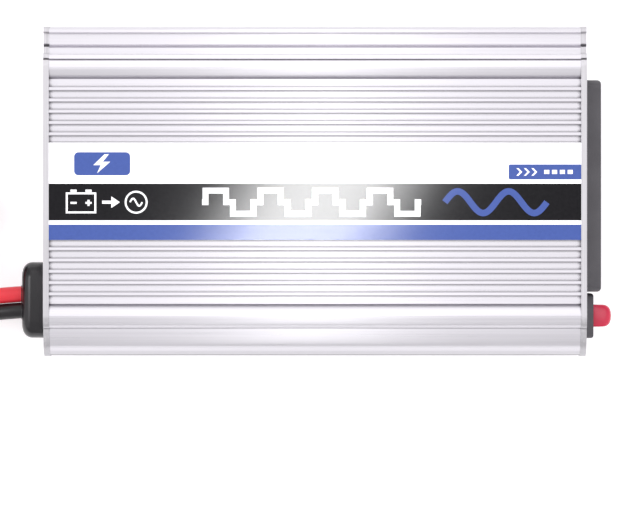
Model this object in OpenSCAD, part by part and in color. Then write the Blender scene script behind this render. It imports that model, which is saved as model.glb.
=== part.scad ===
// Power inverter in a ribbed aluminium case: DC leads with battery clips and a fan at the
// -X end, an AC outlet, a USB port and a rocker switch at the +X end.
// Millimetres. Origin at the centre of the base, +X along the case to the AC end, +Z up.

/* [Case] */
// Length over both end plates
case_length = 160; // [150:1:175]
// Width over the end plates
case_width = 97.3; // [96:0.1:99]
// Height over the end plates
case_height = 56; // [55:0.5:58]
// Thickness of each end plate
plate_thickness = 1.7; // [1.2:0.1:2.2]
// How far the end plates stand proud of the extrusions
plate_proud = 0.25; // [0.1:0.05:0.4]
// Wall thickness of the extrusions
wall = 2.2; // [1.8:0.1:2.4]
// Height of the seam between the top and base extrusions
seam_height = 20; // [18:0.5:22]

/* [Top ribs] */
// Half width of the flat that carries the label
label_half = 14.4; // [12:0.1:14.6]
// Distance from the centre line to the first rib
first_rib = 16.9; // [16.6:0.1:17.2]
// Pitch of the ribs
rib_pitch = 3.32; // [3.2:0.01:3.4]
// Width of each rib
rib_width = 1.2; // [0.8:0.1:1.6]
// Depth of the grooves between the ribs
groove_depth = 1.9; // [1.2:0.1:2]

/* [AC end] */
// Width of the outlet panel
panel_width = 62.6; // [60:0.1:63]
// Height of the outlet panel
panel_height = 36; // [32:1:38]
// How far the outlet panel stands out of the end plate
panel_depth = 4.5; // [3:0.1:5]
// Tilt of the switch rocker to either side
rocker_tilt = 12; // [8:1:13]

/* [DC end] */
// Width of the rubber cable gland
gland_width = 22.7; // [20:0.1:24]
// Height of the rubber cable gland
gland_height = 14; // [12:1:16]
// How far the gland stands out of the end plate
gland_depth = 7.7; // [5:0.1:8]
// Outer diameter of each battery lead
lead_d = 4.8; // [4.4:0.1:4.8]
// Side of the square cooling fan
fan_size = 40; // [40]

/* [Battery clips] */
// Width of a clip's fixed half across its cheeks
clip_width = 11; // [11]
// Thickness of the clip's sheet metal
clip_metal = 0.9; // [0.7:0.1:1]
// Angle of the clip's handles to its centre line
handle_angle = 12.5; // [12:0.5:14]

/* [Hidden] */
$fn = 48;
eps = 0.01;

// Extrusion section
half_length = case_length / 2;
shell_end = half_length - plate_thickness;
shell_half = case_width / 2 - plate_proud;
shell_top = case_height - plate_proud;
rib_count = 5;
label_thickness = 0.3;
groove_floor = shell_top - groove_depth;
roll_y = 36.6;
roll_r = 4.2;
near_round = 9.2;
channel_floor = shell_top - 4.5;
side_grooves = [25, 30, 35];
base_grooves = [8, 13];
groove_width = 1.2;
groove_cut = 0.7;
base_corner = 3;

// Screw bosses, as [y, z] in the end view
top_near_boss = [-shell_half + 6.0, shell_top - 8.6];
top_far_boss = [shell_half - 4.8, shell_top - 9.9];
base_boss_y = shell_half - 4.8;
base_boss_z = 5.5;
plate_screw_places = [top_near_boss, top_far_boss, [-base_boss_y, base_boss_z],
    [base_boss_y, base_boss_z]];
boss_r = 3;
screw_r = 1.45;
screw_hole_r = 1.5;
screw_length = 12;
screw_head_r = 2.7;
screw_head_h = 1.3;

// Board that slides into the base extrusion
board_bottom = 9.45;
board_thickness = 1.6;
board_top = board_bottom + board_thickness;
board_start = -67;
board_end = 54;
ledge_depth = 2.5;
tongue = 1.5;

// AC end
panel_y = 1.7;
panel_z = 28.5;
outlet_y = 9;
outlet_half_l = 18.2;
outlet_half_h = 8.5;
outlet_flat = 12;
outlet_depth = 8;
socket_back = 63;
pin_hole_r = 2.3;
pin_spacing = 19;
earth_rise = 3;
contact_r = 2.9;
contact_bore = 2.1;
contact_front = 70;
usb_y = -18;
usb_z = 24;
usb_w = 13.1;
usb_h = 5.7;
usb_front = half_length + 3.6;
led_z = 39;
led_r = 1.5;
power_led_y = -22;
fault_led_y = -14;
front_board_x = 66;
panel_screw_ys = [-26.9, 30.3];
switch_y = -36.75;
switch_z = 28.5;
bezel_half_y = 6.65;
bezel_half_z = 9.75;
bezel_depth = 2.6;
housing_half_y = 4.6;
housing_half_z = 9;
rocker_half_y = 3.3;
rocker_end_r = 7.2;
rocker_rise = 7.5;
rocker_pivot_x = half_length - 0.5;
rocker_pin_r = 1;
rocker_hole_r = 1.05;

// DC end
gland_y = -32.15;
gland_z = 17;
red_y = -30.4;
black_y = -35.3;
lead_r = lead_d / 2;
fan_y = 16;
fan_z = 28;
fan_depth = 10;
fan_pitch = 16;
fan_blades = 7;

// Routes of the two battery leads, outside the case
red_route = [[-87.7, -30.4, 17], [-92, -30.7, 16.9], [-100, -31.3, 16.3],
    [-108, -31.7, 15.2], [-116, -31.9, 14], [-122, -32.1, 13.3], [-128, -32.2, 12.9]];
black_route = [[-87.7, -35.3, 17], [-92, -35.6, 16.6], [-99, -36.1, 14.7],
    [-106, -36.3, 11.5], [-113, -36.3, 8], [-120, -36.2, 5.2], [-126, -36.2, 3.8],
    [-132, -36.2, 3.2]];
red_tail_route = [[-167.1, 2, 17.7], [-167.7, 8, 17.2], [-169.4, 14, 16.2],
    [-172.6, 20.5, 14.4], [-177.3, 26.4, 12], [-183.6, 30.8, 9.4], [-191.5, 32.9, 7.3],
    [-199.9, 31.9, 6.5]];
black_tail_route = [[-147, -36.2, 8], [-154, -36.2, 7], [-162, -36.4, 5.1],
    [-170, -36.7, 3.5], [-178, -36.9, 3], [-186, -36.8, 3.8], [-193, -36.2, 5.5],
    [-199.9, -34.9, 6.5]];
coil_x = -138;
black_coil_y = -6.2;
black_coil_r = 30;
black_band = 7.5;
red_coil_y = -3.2;
red_coil_r = 29;
red_band = 8.1;
coil_lift = 0.8;
coil_height = 9.7;

// Battery clips
clip_x = -247;
red_clip_y = 17.5;
black_clip_y = -20.5;
clip_z = 6.5;
clip_gap = 0.3;
jaw_length = 25;
handle_start = [8, 7.6];
handle_length = 38;
handle_depth = 3.6;
grip_start = 9;
grip_wall = 1;
grip_cap = 1.5;
clip_pin_r = 1.5;
tooth_count = 5;
tooth_pitch = 2.6;
tooth_depth = 1.3;
jaw_clearance = 0.15;
ear_r = 4.6;

// ---- helpers ----

function arc_points(c, r, from, to, steps) =
    [for (i = [0 : steps]) let (a = from + (to - from) * i / steps)
        [c[0] + r * cos(a), c[1] + r * sin(a)]];

// Square notches cut into a side wall, at side = -1 or 1
function side_notches(side, heights) =
    [for (z = heights) each [[side * shell_half, z - groove_width / 2],
        [side * (shell_half - groove_cut), z - groove_width / 2],
        [side * (shell_half - groove_cut), z + groove_width / 2],
        [side * shell_half, z + groove_width / 2]]];

function reversed(list) = [for (i = [len(list) - 1 : -1 : 0]) list[i]];

// Ribs on one side of the label flat, in order of rising y
function rib_points(side) =
    let (places = [for (i = [0 : rib_count - 1]) first_rib + i * rib_pitch],
        ordered = side > 0 ? places : reversed(places))
    [for (c = ordered) each [[side * c - rib_width / 2, groove_floor],
        [side * c - rib_width / 2 + 0.08, shell_top - 0.15],
        [side * c - rib_width / 2 + 0.25, shell_top],
        [side * c + rib_width / 2 - 0.25, shell_top],
        [side * c + rib_width / 2 - 0.08, shell_top - 0.15],
        [side * c + rib_width / 2, groove_floor]]];

// The ribs on both sides and the recess for the label between them
function label_side_line() = concat(
    rib_points(-1),
    [[-label_half, groove_floor], [-label_half, shell_top - label_thickness],
     [label_half, shell_top - label_thickness], [label_half, groove_floor]],
    rib_points(1));

// Outer line of the case section from the near (-Y) side over the top to the far side,
// either ribbed as on the extrusion or flat between the two rolls as on the end plates
function upper_line(ribbed) = concat(
    side_notches(-1, side_grooves),
    arc_points([near_round - shell_half, shell_top - 11.6], near_round, 180, 97, 16),
    [[-40.42, shell_top - 3.1]],
    arc_points([-roll_y, shell_top - roll_r], roll_r, 148, ribbed ? 33.2 : 90, 14),
    ribbed ? label_side_line() : [],
    arc_points([roll_y, shell_top - roll_r], roll_r, ribbed ? 146.8 : 90, 63, 12),
    [[38.62, shell_top - 1.7], [38.85, shell_top - 1.15], [39.1, shell_top - 0.95],
     [40.1, shell_top - 1.25], [40.4, shell_top - 1.55],
     [40.4, channel_floor], [42.35, channel_floor], [42.85, channel_floor - 0.8],
     [43.35, channel_floor], [46.5, channel_floor],
     [46.5, shell_top - 2.7], [46.8, shell_top - 2.4], [47.7, shell_top - 2.4],
     [shell_half - 0.2, shell_top - 2.75], [shell_half, shell_top - 3.3]],
    reversed(side_notches(1, side_grooves)));

function lower_line() = concat(
    reversed(side_notches(1, base_grooves)),
    arc_points([shell_half - base_corner, base_corner], base_corner, 0, -90, 8),
    arc_points([base_corner - shell_half, base_corner], base_corner, -90, -180, 8),
    side_notches(-1, base_grooves));

// Draws a 2D section, given as [y, z], along X from x1 to x2
module along_x(x1, x2) {
    translate([x1, 0, 0]) rotate([90, 0, 90]) linear_extrude(x2 - x1) children();
}

module rod_x(y, z, x1, x2, r) {
    translate([x1, y, z]) rotate([0, 90, 0]) cylinder(h = x2 - x1, r = r);
}

module box(low, high) {
    translate(low) cube(high - low);
}

// Tube of radius r swept along a list of points
function unit(v) = v / norm(v);
function heading(p, i) = unit(p[min(i + 1, len(p) - 1)] - p[max(i - 1, 0)]);
function sideways(t) = abs(t[2]) > 0.95 ? unit(cross(t, [1, 0, 0])) : unit(cross(t, [0, 0, 1]));

module tube(p, r, sides = 8) {
    n = len(p);
    rings = [for (i = [0 : n - 1]) let (t = heading(p, i), s = sideways(t), u = cross(s, t))
        each [for (k = [0 : sides - 1]) let (a = 360 * k / sides)
            p[i] + r * cos(a) * s + r * sin(a) * u]];
    walls = [for (i = [0 : n - 2], k = [0 : sides - 1])
        let (k2 = (k + 1) % sides, a = i * sides + k, b = i * sides + k2,
            c = a + sides, d = b + sides)
        each [[a, b, d], [a, d, c]]];
    start_cap = [[for (k = [sides - 1 : -1 : 0]) k]];
    end_cap = [[for (k = [0 : sides - 1]) (n - 1) * sides + k]];
    polyhedron(rings, concat(walls, start_cap, end_cap));
}

// Pan head screw along -X from a head that sits on the plane x = 0, pointing to -X
module screw(length, r, head_r, head_h) {
    difference() {
        union() {
            rod_x(0, 0, -length, 0, r);
            rotate([0, 90, 0]) cylinder(h = head_h * 0.5, r = head_r);
            translate([head_h * 0.5, 0, 0]) rotate([0, 90, 0])
                cylinder(h = head_h * 0.5, r1 = head_r, r2 = head_r * 0.6);
        }
        for (turn = [45, 135]) rotate([turn, 0, 0])
            box([head_h * 0.35, -head_r * 0.55, -0.35], [head_h + 1, head_r * 0.55, 0.35]);
    }
}

// Flat head screw along -X whose head is flush with the plane x = 0
module flat_screw(length) {
    difference() {
        union() {
            rod_x(0, 0, -length, -screw_head_h / 2, screw_r);
            translate([-screw_head_h, 0, 0]) rotate([0, 90, 0])
                cylinder(h = screw_head_h, r1 = screw_r, r2 = screw_head_r);
        }
        for (turn = [45, 135]) rotate([turn, 0, 0]) box([-0.9, -1.5, -0.3], [1, 1.5, 0.3]);
    }
}

// Seat for a flat head screw, in a plate whose outer face is the plane x = 0
module countersink() {
    reach = 1.27;
    translate([-reach, 0, 0]) rotate([0, 90, 0])
        cylinder(h = reach + eps, r1 = screw_hole_r, r2 = screw_head_r + 0.02);
}

// ---- case ----

module top_section() {
    difference() {
        polygon(concat([[-shell_half, seam_height]], upper_line(true), [[shell_half, seam_height]]));
        polygon(concat(
            [[wall - shell_half, seam_height - 1]],
            arc_points([near_round - shell_half, shell_top - 11.6], near_round - wall, 180, 90, 12),
            [[-33, shell_top - 3.9], [33, shell_top - 3.9], [38, shell_top - 6.8],
             [shell_half - wall, shell_top - 6.8], [shell_half - wall, seam_height - 1]]));
    }
}

module top_shell() {
    color("lightsteelblue")
    difference() {
        union() {
            along_x(-shell_end, shell_end) top_section();
            for (b = [top_near_boss, top_far_boss])
                rod_x(b[0], b[1], -shell_end, shell_end, boss_r);
        }
        for (b = [top_near_boss, top_far_boss])
            rod_x(b[0], b[1], -shell_end - 1, shell_end + 1, screw_hole_r);
    }
}

shell_inner = shell_half - wall;

module base_section() {
    difference() {
        polygon(concat([[shell_half, seam_height]], lower_line(), [[-shell_half, seam_height]]));
        translate([-shell_inner, wall]) square([2 * shell_inner, seam_height]);
        for (y = [-30, -12, 12, 30]) translate([y - 1, -1]) square([2, 1.8]);
    }
}

// What stands on one inner side of the base: the board's ledges, the screw boss, and the
// tongue that reaches inside the top extrusion's wall
module base_side() {
    for (z = [board_bottom - 1.55, board_top + 0.1])
        box([-shell_end, shell_inner - ledge_depth, z], [shell_end, shell_inner + 0.2, z + 1.5]);
    rod_x(base_boss_y, base_boss_z, -shell_end, shell_end, boss_r - 0.2);
    box([-shell_end, shell_inner - tongue, seam_height - 4],
        [shell_end, shell_inner + 0.2, seam_height]);
    box([-shell_end, shell_inner - tongue, seam_height - 1],
        [shell_end, shell_inner - 0.05, seam_height + 2.5]);
}

module base_shell() {
    color("lightsteelblue")
    difference() {
        union() {
            along_x(-shell_end, shell_end) base_section();
            for (turn = [0, 1]) mirror([0, turn, 0]) base_side();
        }
        for (side = [-1, 1]) rod_x(side * base_boss_y, base_boss_z,
            -shell_end - 1, shell_end + 1, screw_hole_r);
    }
}

module label() {
    color("white")
    box([-shell_end, 0.1 - label_half, shell_top - label_thickness],
        [shell_end, label_half - 0.1, shell_top]);
}

// Outline of the end plates: the case section without its ribs, a little larger
module plate_outline() {
    k = 1 + plate_proud / shell_half;
    outline = concat(upper_line(false), lower_line());
    polygon([for (p = outline) [p[0] * k, max(0.2, p[1] + (p[1] > seam_height ? plate_proud : 0))]]);
}

module plate_screw_holes() {
    for (b = plate_screw_places) translate(b) circle(screw_hole_r);
}

// Puts its child at each place, given as [y, z], on the outer face of the end plate on one side
module on_plate(side, places) {
    for (b = places) translate([side * half_length, b[0], b[1]])
        rotate([0, 0, side > 0 ? 0 : 180]) children();
}

fan_screw_places = [for (i = [-1, 1], j = [-1, 1]) [fan_y + i * fan_pitch, fan_z + j * fan_pitch]];

module vent_slots(y, z_low, z_high, count, pitch) {
    for (i = [0 : count - 1]) translate([y + (i - (count - 1) / 2) * pitch, 0])
        union() {
            translate([-0.9, z_low]) square([1.8, z_high - z_low]);
            translate([0, z_low]) circle(0.9);
            translate([0, z_high]) circle(0.9);
        }
}

// Ring slots in front of the fan, parted by four spokes
module fan_grille() {
    difference() {
        union() for (r = [6, 10.5, 15]) difference() {
            circle(r + 2.9);
            circle(r);
        }
        for (turn = [45, 135]) rotate(turn) square([2.4, 40], center = true);
    }
}

module dc_end_plate() {
    color("silver")
    difference() {
        along_x(-half_length, -shell_end) difference() {
            plate_outline();
            plate_screw_holes();
            translate([gland_y, gland_z])
                square([gland_width - 4, gland_height - 4], center = true);
            translate([fan_y, fan_z]) fan_grille();
            for (b = fan_screw_places) translate(b) circle(screw_hole_r);
        }
        on_plate(-1, concat(plate_screw_places, fan_screw_places)) countersink();
    }
}

module ac_end_plate() {
    color("silver")
    difference() {
        along_x(shell_end, half_length) difference() {
            plate_outline();
            plate_screw_holes();
            translate([outlet_y, panel_z]) square([40.6, 21.6], center = true);
            translate([usb_y, usb_z]) square([usb_w + 0.6, usb_h + 0.6], center = true);
            for (y = [power_led_y, fault_led_y]) translate([y, led_z]) circle(1.7);
            for (y = panel_screw_ys) translate([y, panel_z]) circle(1.25);
            translate([switch_y, switch_z])
                square([2 * housing_half_y + 0.2, 2 * housing_half_z + 0.2], center = true);
            translate([0, 4]) vent_slots(39.5, 10, 32, 3, 3.6);
        }
        on_plate(1, plate_screw_places) countersink();
    }
}

module dc_plate_screws() {
    color("gainsboro") on_plate(-1, plate_screw_places) flat_screw(screw_length);
}

module ac_plate_screws() {
    color("gainsboro") on_plate(1, plate_screw_places) flat_screw(screw_length);
}

// ---- AC end ----

module outlet_outline() {
    polygon([[outlet_half_l, 0], [outlet_flat, outlet_half_h], [-outlet_flat, outlet_half_h],
        [-outlet_half_l, 0], [-outlet_flat, -outlet_half_h], [outlet_flat, -outlet_half_h]]);
}

// Places of the three round holes of the outlet, as [y, z] from its centre
line_places = [[-pin_spacing / 2, 0], [pin_spacing / 2, 0]];
earth_place = [0, earth_rise];

module rounded_plate(w, h, r) {
    for (i = [-1, 1], j = [-1, 1]) translate([i * (w / 2 - r), j * (h / 2 - r)]) circle(r);
    square([w - 2 * r, h], center = true);
    square([w, h - 2 * r], center = true);
}

// Block whose front edges along Z are rounded, seen from above, between x1 and x2
module rounded_front(x1, x2, w, h, r) {
    translate([0, 0, -h / 2]) linear_extrude(h) {
        translate([x1, -w / 2]) square([x2 - x1 - r, w]);
        translate([x2 - r - eps, -w / 2 + r]) square([r + eps, w - 2 * r]);
        for (side = [-1, 1]) translate([x2 - r, side * (w / 2 - r)]) circle(r);
    }
}

module socket_panel() {
    color([0.36, 0.35, 0.37])
    difference() {
        intersection() {
            translate([0, panel_y, panel_z])
                rounded_front(half_length, half_length + panel_depth, panel_width,
                    panel_height, 1.2);
            along_x(half_length, half_length + panel_depth) translate([panel_y, panel_z])
                rounded_plate(panel_width, panel_height, 2.5);
        }
        along_x(half_length - 1, half_length + panel_depth + 1) {
            translate([outlet_y, panel_z]) outlet_outline();
            translate([usb_y, usb_z]) square([usb_w + 0.3, usb_h + 0.3], center = true);
            for (y = [power_led_y, fault_led_y]) translate([y, led_z]) circle(led_r + 0.1);
            for (y = panel_screw_ys) translate([y, panel_z]) circle(1.4);
        }
        for (y = panel_screw_ys)
            rod_x(y, panel_z, half_length + panel_depth - 1.6, half_length + panel_depth + 1, 2.5);
    }
}

module socket_body() {
    color("dimgray")
    difference() {
        along_x(socket_back, half_length) translate([outlet_y, panel_z])
            square([40.2, 21.2], center = true);
        along_x(half_length - outlet_depth, half_length + 1)
            translate([outlet_y, panel_z]) outlet_outline();
        for (p = concat(line_places, [earth_place])) {
            rod_x(outlet_y + p[0], panel_z + p[1], contact_front, half_length, pin_hole_r);
            rod_x(outlet_y + p[0], panel_z + p[1], socket_back - 1, contact_front,
                contact_r + 0.05);
        }
    }
}

module contact_tube(p) {
    difference() {
        rod_x(outlet_y + p[0], panel_z + p[1], socket_back, contact_front - 0.1, contact_r);
        rod_x(outlet_y + p[0], panel_z + p[1], socket_back + 1, contact_front, contact_bore);
    }
}

module line_contacts() {
    color("goldenrod") for (p = line_places) contact_tube(p);
}

module earth_contact() {
    color("goldenrod") contact_tube(earth_place);
}

module panel_screws() {
    color("silver")
    for (y = panel_screw_ys) translate([half_length + panel_depth - 1.6, y, panel_z])
        screw(6, 1.2, 2.2, 1.3);
}

module usb_shell() {
    color("silver")
    difference() {
        along_x(front_board_x + 1.6, usb_front) translate([usb_y, usb_z])
            square([usb_w, usb_h], center = true);
        along_x(front_board_x + 2.6, usb_front + 1) translate([usb_y, usb_z])
            square([usb_w - 0.8, usb_h - 0.8], center = true);
    }
}

module usb_tongue() {
    color("white")
    along_x(front_board_x + 2.6, usb_front - 0.6) {
        translate([usb_y, usb_z + 1]) square([10.6, 1.8], center = true);
    }
}

// Lamp with a flange behind the end plate and a domed front
module led(y) {
    stem = plate_thickness + panel_depth - led_r - 0.1;
    translate([shell_end - 0.02, y, led_z]) rotate([0, 90, 0]) rotate_extrude()
        polygon(concat([[0, -2.8], [led_r + 0.3, -2.8], [led_r + 0.3, 0], [led_r, 0]],
            arc_points([0, stem], led_r, 0, 90, 10)));
    for (side = [-1, 1]) rod_x(y + side * 1.27 / 2, led_z, front_board_x + 1.6,
        shell_end - 2.7, 0.25);
}

module power_led() {
    color("limegreen") led(power_led_y);
}

module fault_led() {
    color("red") led(fault_led_y);
}

module front_board() {
    color("darkgreen")
    box([front_board_x, -27, 14], [front_board_x + 1.6, -11.6, 44]);
}

module switch_housing() {
    color([0.33, 0.33, 0.34])
    translate([0, switch_y, switch_z]) difference() {
        union() {
            box([half_length - 16, -housing_half_y, -housing_half_z],
                [half_length + 0.1, housing_half_y, housing_half_z]);
            translate([half_length, 0, 0]) intersection() {
                rounded_front(0, bezel_depth, 2 * bezel_half_y, 2 * bezel_half_z, 0.8);
                along_x(0, bezel_depth) rounded_plate(2 * bezel_half_y, 2 * bezel_half_z, 1.5);
            }
        }
        box([half_length - 9, -rocker_half_y - 0.2, -8.4],
            [half_length + 3, rocker_half_y + 0.2, 8.4]);
        translate([rocker_pivot_x, 0, 0]) rotate([90, 0, 0])
            cylinder(h = 2 * housing_half_y + 0.02, r = rocker_hole_r, center = true);
    }
}

// The rocker's rounded outline from above, in its own frame with the pivot at the origin
module rocker_shape() {
    difference() {
        intersection() {
            rotate([90, 0, 0]) linear_extrude(2 * rocker_half_y, center = true)
                polygon([[-3.6, -4.4], [-3.6, 4.4], [0, 7.4], [2.4, 7.4],
                    [rocker_rise - 0.5, rocker_end_r], [rocker_rise, rocker_end_r - 0.7],
                    [rocker_rise - 1.6, 0],
                    [rocker_rise, 0.7 - rocker_end_r], [rocker_rise - 0.5, -rocker_end_r],
                    [2.4, -7.4], [0, -7.4]]);
            rounded_front(-5, rocker_rise, 2 * rocker_half_y, 16, 3);
        }
        // two shallow touch marks, one dot and one bar, on the two ends
        translate([rocker_rise - 0.7, 0, 4.4]) rotate([0, 90, 0]) cylinder(h = 2, r = 1);
        box([rocker_rise - 1.2, -0.4, -6], [rocker_rise + 1, 0.4, -3]);
    }
    rotate([90, 0, 0]) cylinder(h = 2 * housing_half_y - 0.4, r = rocker_pin_r, center = true);
}

module switch_rocker() {
    color("crimson")
    translate([rocker_pivot_x, switch_y, switch_z]) rotate([0, rocker_tilt, 0]) rocker_shape();
}

module switch_terminals() {
    color("goldenrod")
    for (z = [-4.5, 4.5]) difference() {
        box([half_length - 24, switch_y - 2.4, switch_z + z - 0.4],
            [half_length - 16, switch_y + 2.4, switch_z + z + 0.4]);
        translate([half_length - 21, switch_y, switch_z + z]) cylinder(h = 4, r = 0.9, center = true);
    }
}

// ---- DC end ----

module cable_gland() {
    color([0.12, 0.12, 0.13])
    difference() {
        union() {
            intersection() {
                translate([0, gland_y, gland_z]) mirror([1, 0, 0])
                    rounded_front(half_length, half_length + gland_depth, gland_width,
                        gland_height, 2.4);
                along_x(-half_length - gland_depth, -half_length) translate([gland_y, gland_z])
                    rounded_plate(gland_width, gland_height, 5);
            }
            along_x(-half_length - 1, -shell_end + 0.1) translate([gland_y, gland_z])
                square([gland_width - 4.1, gland_height - 4.1], center = true);
            along_x(-shell_end + 0.02, -shell_end + 2.5) translate([gland_y, gland_z])
                rounded_plate(gland_width - 1, gland_height - 1, 3);
        }
        for (y = [red_y, black_y])
            rod_x(y, gland_z, -half_length - gland_depth - 1, -70, lead_r + 0.03);
    }
}

module red_lead() {
    color("crimson") tube(red_route, lead_r);
}

module black_lead() {
    color([0.15, 0.15, 0.16]) tube(black_route, lead_r);
}

module red_lead_tail() {
    color("crimson") tube(red_tail_route, lead_r);
}

module black_lead_tail() {
    color([0.15, 0.15, 0.16]) tube(black_tail_route, lead_r);
}

module coil(y, z, r, band) {
    translate([coil_x, y, z]) rotate_extrude($fn = 72)
        translate([r - band - lead_r, 0]) square([band + lead_d, coil_height]);
}

module red_coil() {
    color("crimson") coil(red_coil_y, coil_lift + coil_height, red_coil_r, red_band);
}

module black_coil() {
    color([0.15, 0.15, 0.16]) coil(black_coil_y, coil_lift, black_coil_r, black_band);
}

// Strap round both coils on the side nearest the case
module coil_tie() {
    low = coil_x + red_coil_r - red_band - lead_r - 0.6;
    high = coil_x + black_coil_r + lead_r + 0.1;
    top = coil_lift + 2 * coil_height + 0.05;
    color("dimgray")
    difference() {
        box([low - coil_lift, -7.5, 0], [high + coil_lift, -1.5, top + coil_lift]);
        box([low, -10, coil_lift], [high, 0, top]);
    }
}

module lead_ends() {
    color("peru")
    for (y = [red_y, black_y]) rod_x(y, gland_z, -half_length - gland_depth, -59, lead_r);
}

module dc_terminals() {
    color("goldenrod")
    for (y = [red_y, black_y]) difference() {
        union() {
            box([-66, y - 2.35, board_top], [-58, y + 2.35, gland_z + 3.6]);
            translate([-62, y, gland_z + 3.5]) cylinder(h = 2, r = 1.7);
        }
        rod_x(y, gland_z, -67, -57, lead_r - 0.4);
        rod_x(y, gland_z, -67, -58.9, lead_r + 0.03);
        box([-62.3, y - 1.4, gland_z + 5], [-61.7, y + 1.4, gland_z + 6]);
    }
}

module fan_frame() {
    color([0.13, 0.13, 0.14])
    translate([-shell_end, fan_y, fan_z]) difference() {
        union() {
            difference() {
                along_x(0.02, fan_depth) rounded_plate(fan_size, fan_size, 3);
                rod_x(0, 0, -1, fan_depth + 1, 19);
            }
            rod_x(0, 0, fan_depth - 1.4, fan_depth, 9.5);
            rod_x(0, 0, 4, fan_depth - 1, 3);
            for (turn = [45, 165, 285]) rotate([turn, 0, 0])
                box([fan_depth - 1.5, -1.2, 9], [fan_depth - 0.1, 1.2, 19.5]);
        }
        rod_x(0, 0, 3, fan_depth + 1, 1.05);
        for (i = [-1, 1], j = [-1, 1])
            rod_x(i * fan_pitch, j * fan_pitch, -1, fan_depth + 1, screw_hole_r);
    }
}

module fan_rotor() {
    x = -shell_end;
    color([0.1, 0.1, 0.11])
    translate([x, fan_y, fan_z]) {
        difference() {
            rod_x(0, 0, 1, 8, 9);
            rod_x(0, 0, 2.4, 9, 7.8);
        }
        rod_x(0, 0, 1.5, fan_depth - 0.4, 1);
        intersection() {
            difference() {
                rod_x(0, 0, 1.2, 8, 18.2);
                rod_x(0, 0, 0, 9, 8.4);
            }
            for (i = [0 : fan_blades - 1]) rotate([i * 360 / fan_blades, 0, 0])
                translate([4.6, 0, 8]) rotate([0, 0, 38])
                    box([-5.5, -0.6, 0], [5.5, 0.6, 11]);
        }
    }
}

module fan_screws() {
    color("silver") on_plate(-1, fan_screw_places) flat_screw(9);
}

// ---- electronics ----

module main_board() {
    half = shell_inner - 0.3;
    color("darkgreen") box([board_start, -half, board_bottom], [board_end, half, board_top]);
}

// Ferrite core with two windows beside its centre leg
module transformer_core() {
    color([0.2, 0.2, 0.22])
    translate([-18, 4, board_top + 2]) difference() {
        box([-18, -7, 0], [18, 7, 30]);
        for (side = [-1, 1]) box([side * 9 - 4, -8, 6], [side * 9 + 4, 8, 24]);
    }
}

module transformer_winding() {
    color("gold")
    translate([-18, 4, board_top + 2]) difference() {
        box([-12.9, -14, 6.1], [12.9, 14, 23.9]);
        box([-5.1, -7.1, 6], [5.1, 7.1, 24]);
        for (side = [-1, 1]) box([side * 7.6 - 2.5, 13, 8], [side * 7.6 + 2.5, 15, 22]);
    }
    color("gold")
    for (i = [-2 : 2], side = [-1, 1]) translate([-18 + i * 5, 4 + side * 12, board_top])
        cylinder(h = 8.1, r = 0.6);
}

module can(x, y, r, h) {
    translate([x, y, board_top]) difference() {
        cylinder(h = h, r = r);
        for (turn = [0, 90]) rotate(turn) translate([0, 0, h])
            cube([r * 1.4, 0.5, 0.6], center = true);
    }
}

module input_capacitors() {
    color("midnightblue") {
        can(-50, -18, 6.3, 22);
        can(-50, -2, 6.3, 22);
    }
}

module output_capacitor() {
    color("black") can(22, 20, 9, 30);
}

module choke_core() {
    color("yellow")
    translate([-44, 24, board_top + 1.5]) rotate_extrude()
        translate([6, 0]) square([5, 8]);
}

module choke_winding() {
    color("orangered")
    translate([-44, 24, board_top + 1.5]) rotate([0, 0, 30]) rotate_extrude(angle = 300)
        difference() {
            translate([4.7, -1.2]) square([7.6, 10.4]);
            translate([5.9, -0.1]) square([5.2, 8.2]);
        }
}

// Transistor with its flat back towards the wall at y = 0, and its body towards +y
module transistor() {
    difference() {
        union() {
            box([-5, 0, 15.5], [5, 1.3, 21]);
            box([-5, 0, 5.5], [5, 4.5, 15.6]);
        }
        translate([0, -1, 18.4]) rotate([-90, 0, 0]) cylinder(h = 4, r = 1.8);
    }
    for (i = [-1, 0, 1]) box([i * 2.54 - 0.4, 2.2, 0], [i * 2.54 + 0.4, 2.8, 5.6]);
}

wall_face = shell_inner - ledge_depth - 0.4;
input_transistor_xs = [-34, -21, -8, 5];
output_transistor_xs = [-2, 11, 37, 50];

module input_transistors() {
    color([0.15, 0.15, 0.15])
    for (x = input_transistor_xs) translate([x, -wall_face, board_top]) transistor();
}

module output_transistors() {
    color([0.15, 0.15, 0.15])
    for (x = output_transistor_xs) translate([x, wall_face, board_top])
        mirror([0, 1, 0]) transistor();
}

// Aluminium bars between the transistors and the case wall, one on each side
module transistor_clamps() {
    color("silver")
    for (side = [-1, 1]) {
        y1 = wall_face + 0.02;
        y2 = shell_inner - 0.02;
        x1 = side < 0 ? -42 : -10;
        x2 = side < 0 ? 13 : 56;
        mirror([0, side < 0 ? 1 : 0, 0]) box([x1, y1, 23], [x2, y2, 34]);
    }
}

module fuse_holder() {
    color("black")
    difference() {
        box([-62, 10, board_top], [-58, 34, board_top + 8]);
        for (y = [16, 28]) box([-60.6, y - 3.2, board_top + 3], [-59.4, y + 3.2, board_top + 9]);
    }
}

module blade_fuses() {
    color("yellow")
    for (y = [16, 28]) {
        box([-60.4, y - 3, board_top + 3.2], [-59.6, y + 3, board_top + 8]);
        box([-61.8, y - 5, board_top + 8.02], [-58.2, y + 5, board_top + 14]);
    }
}

module control_board() {
    color("darkgreen") box([-6, -22.8, board_top], [40, -21.6, board_top + 22]);
    color([0.15, 0.15, 0.15])
    for (x = [6, 26]) box([x - 5, -24.8, board_top + 8], [x + 5, -22.8, board_top + 14]);
}

module buzzer() {
    color("black")
    translate([46, -12, board_top]) difference() {
        cylinder(h = 8.5, r = 6);
        translate([0, 0, 7]) cylinder(h = 2, r = 1);
    }
}

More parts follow.
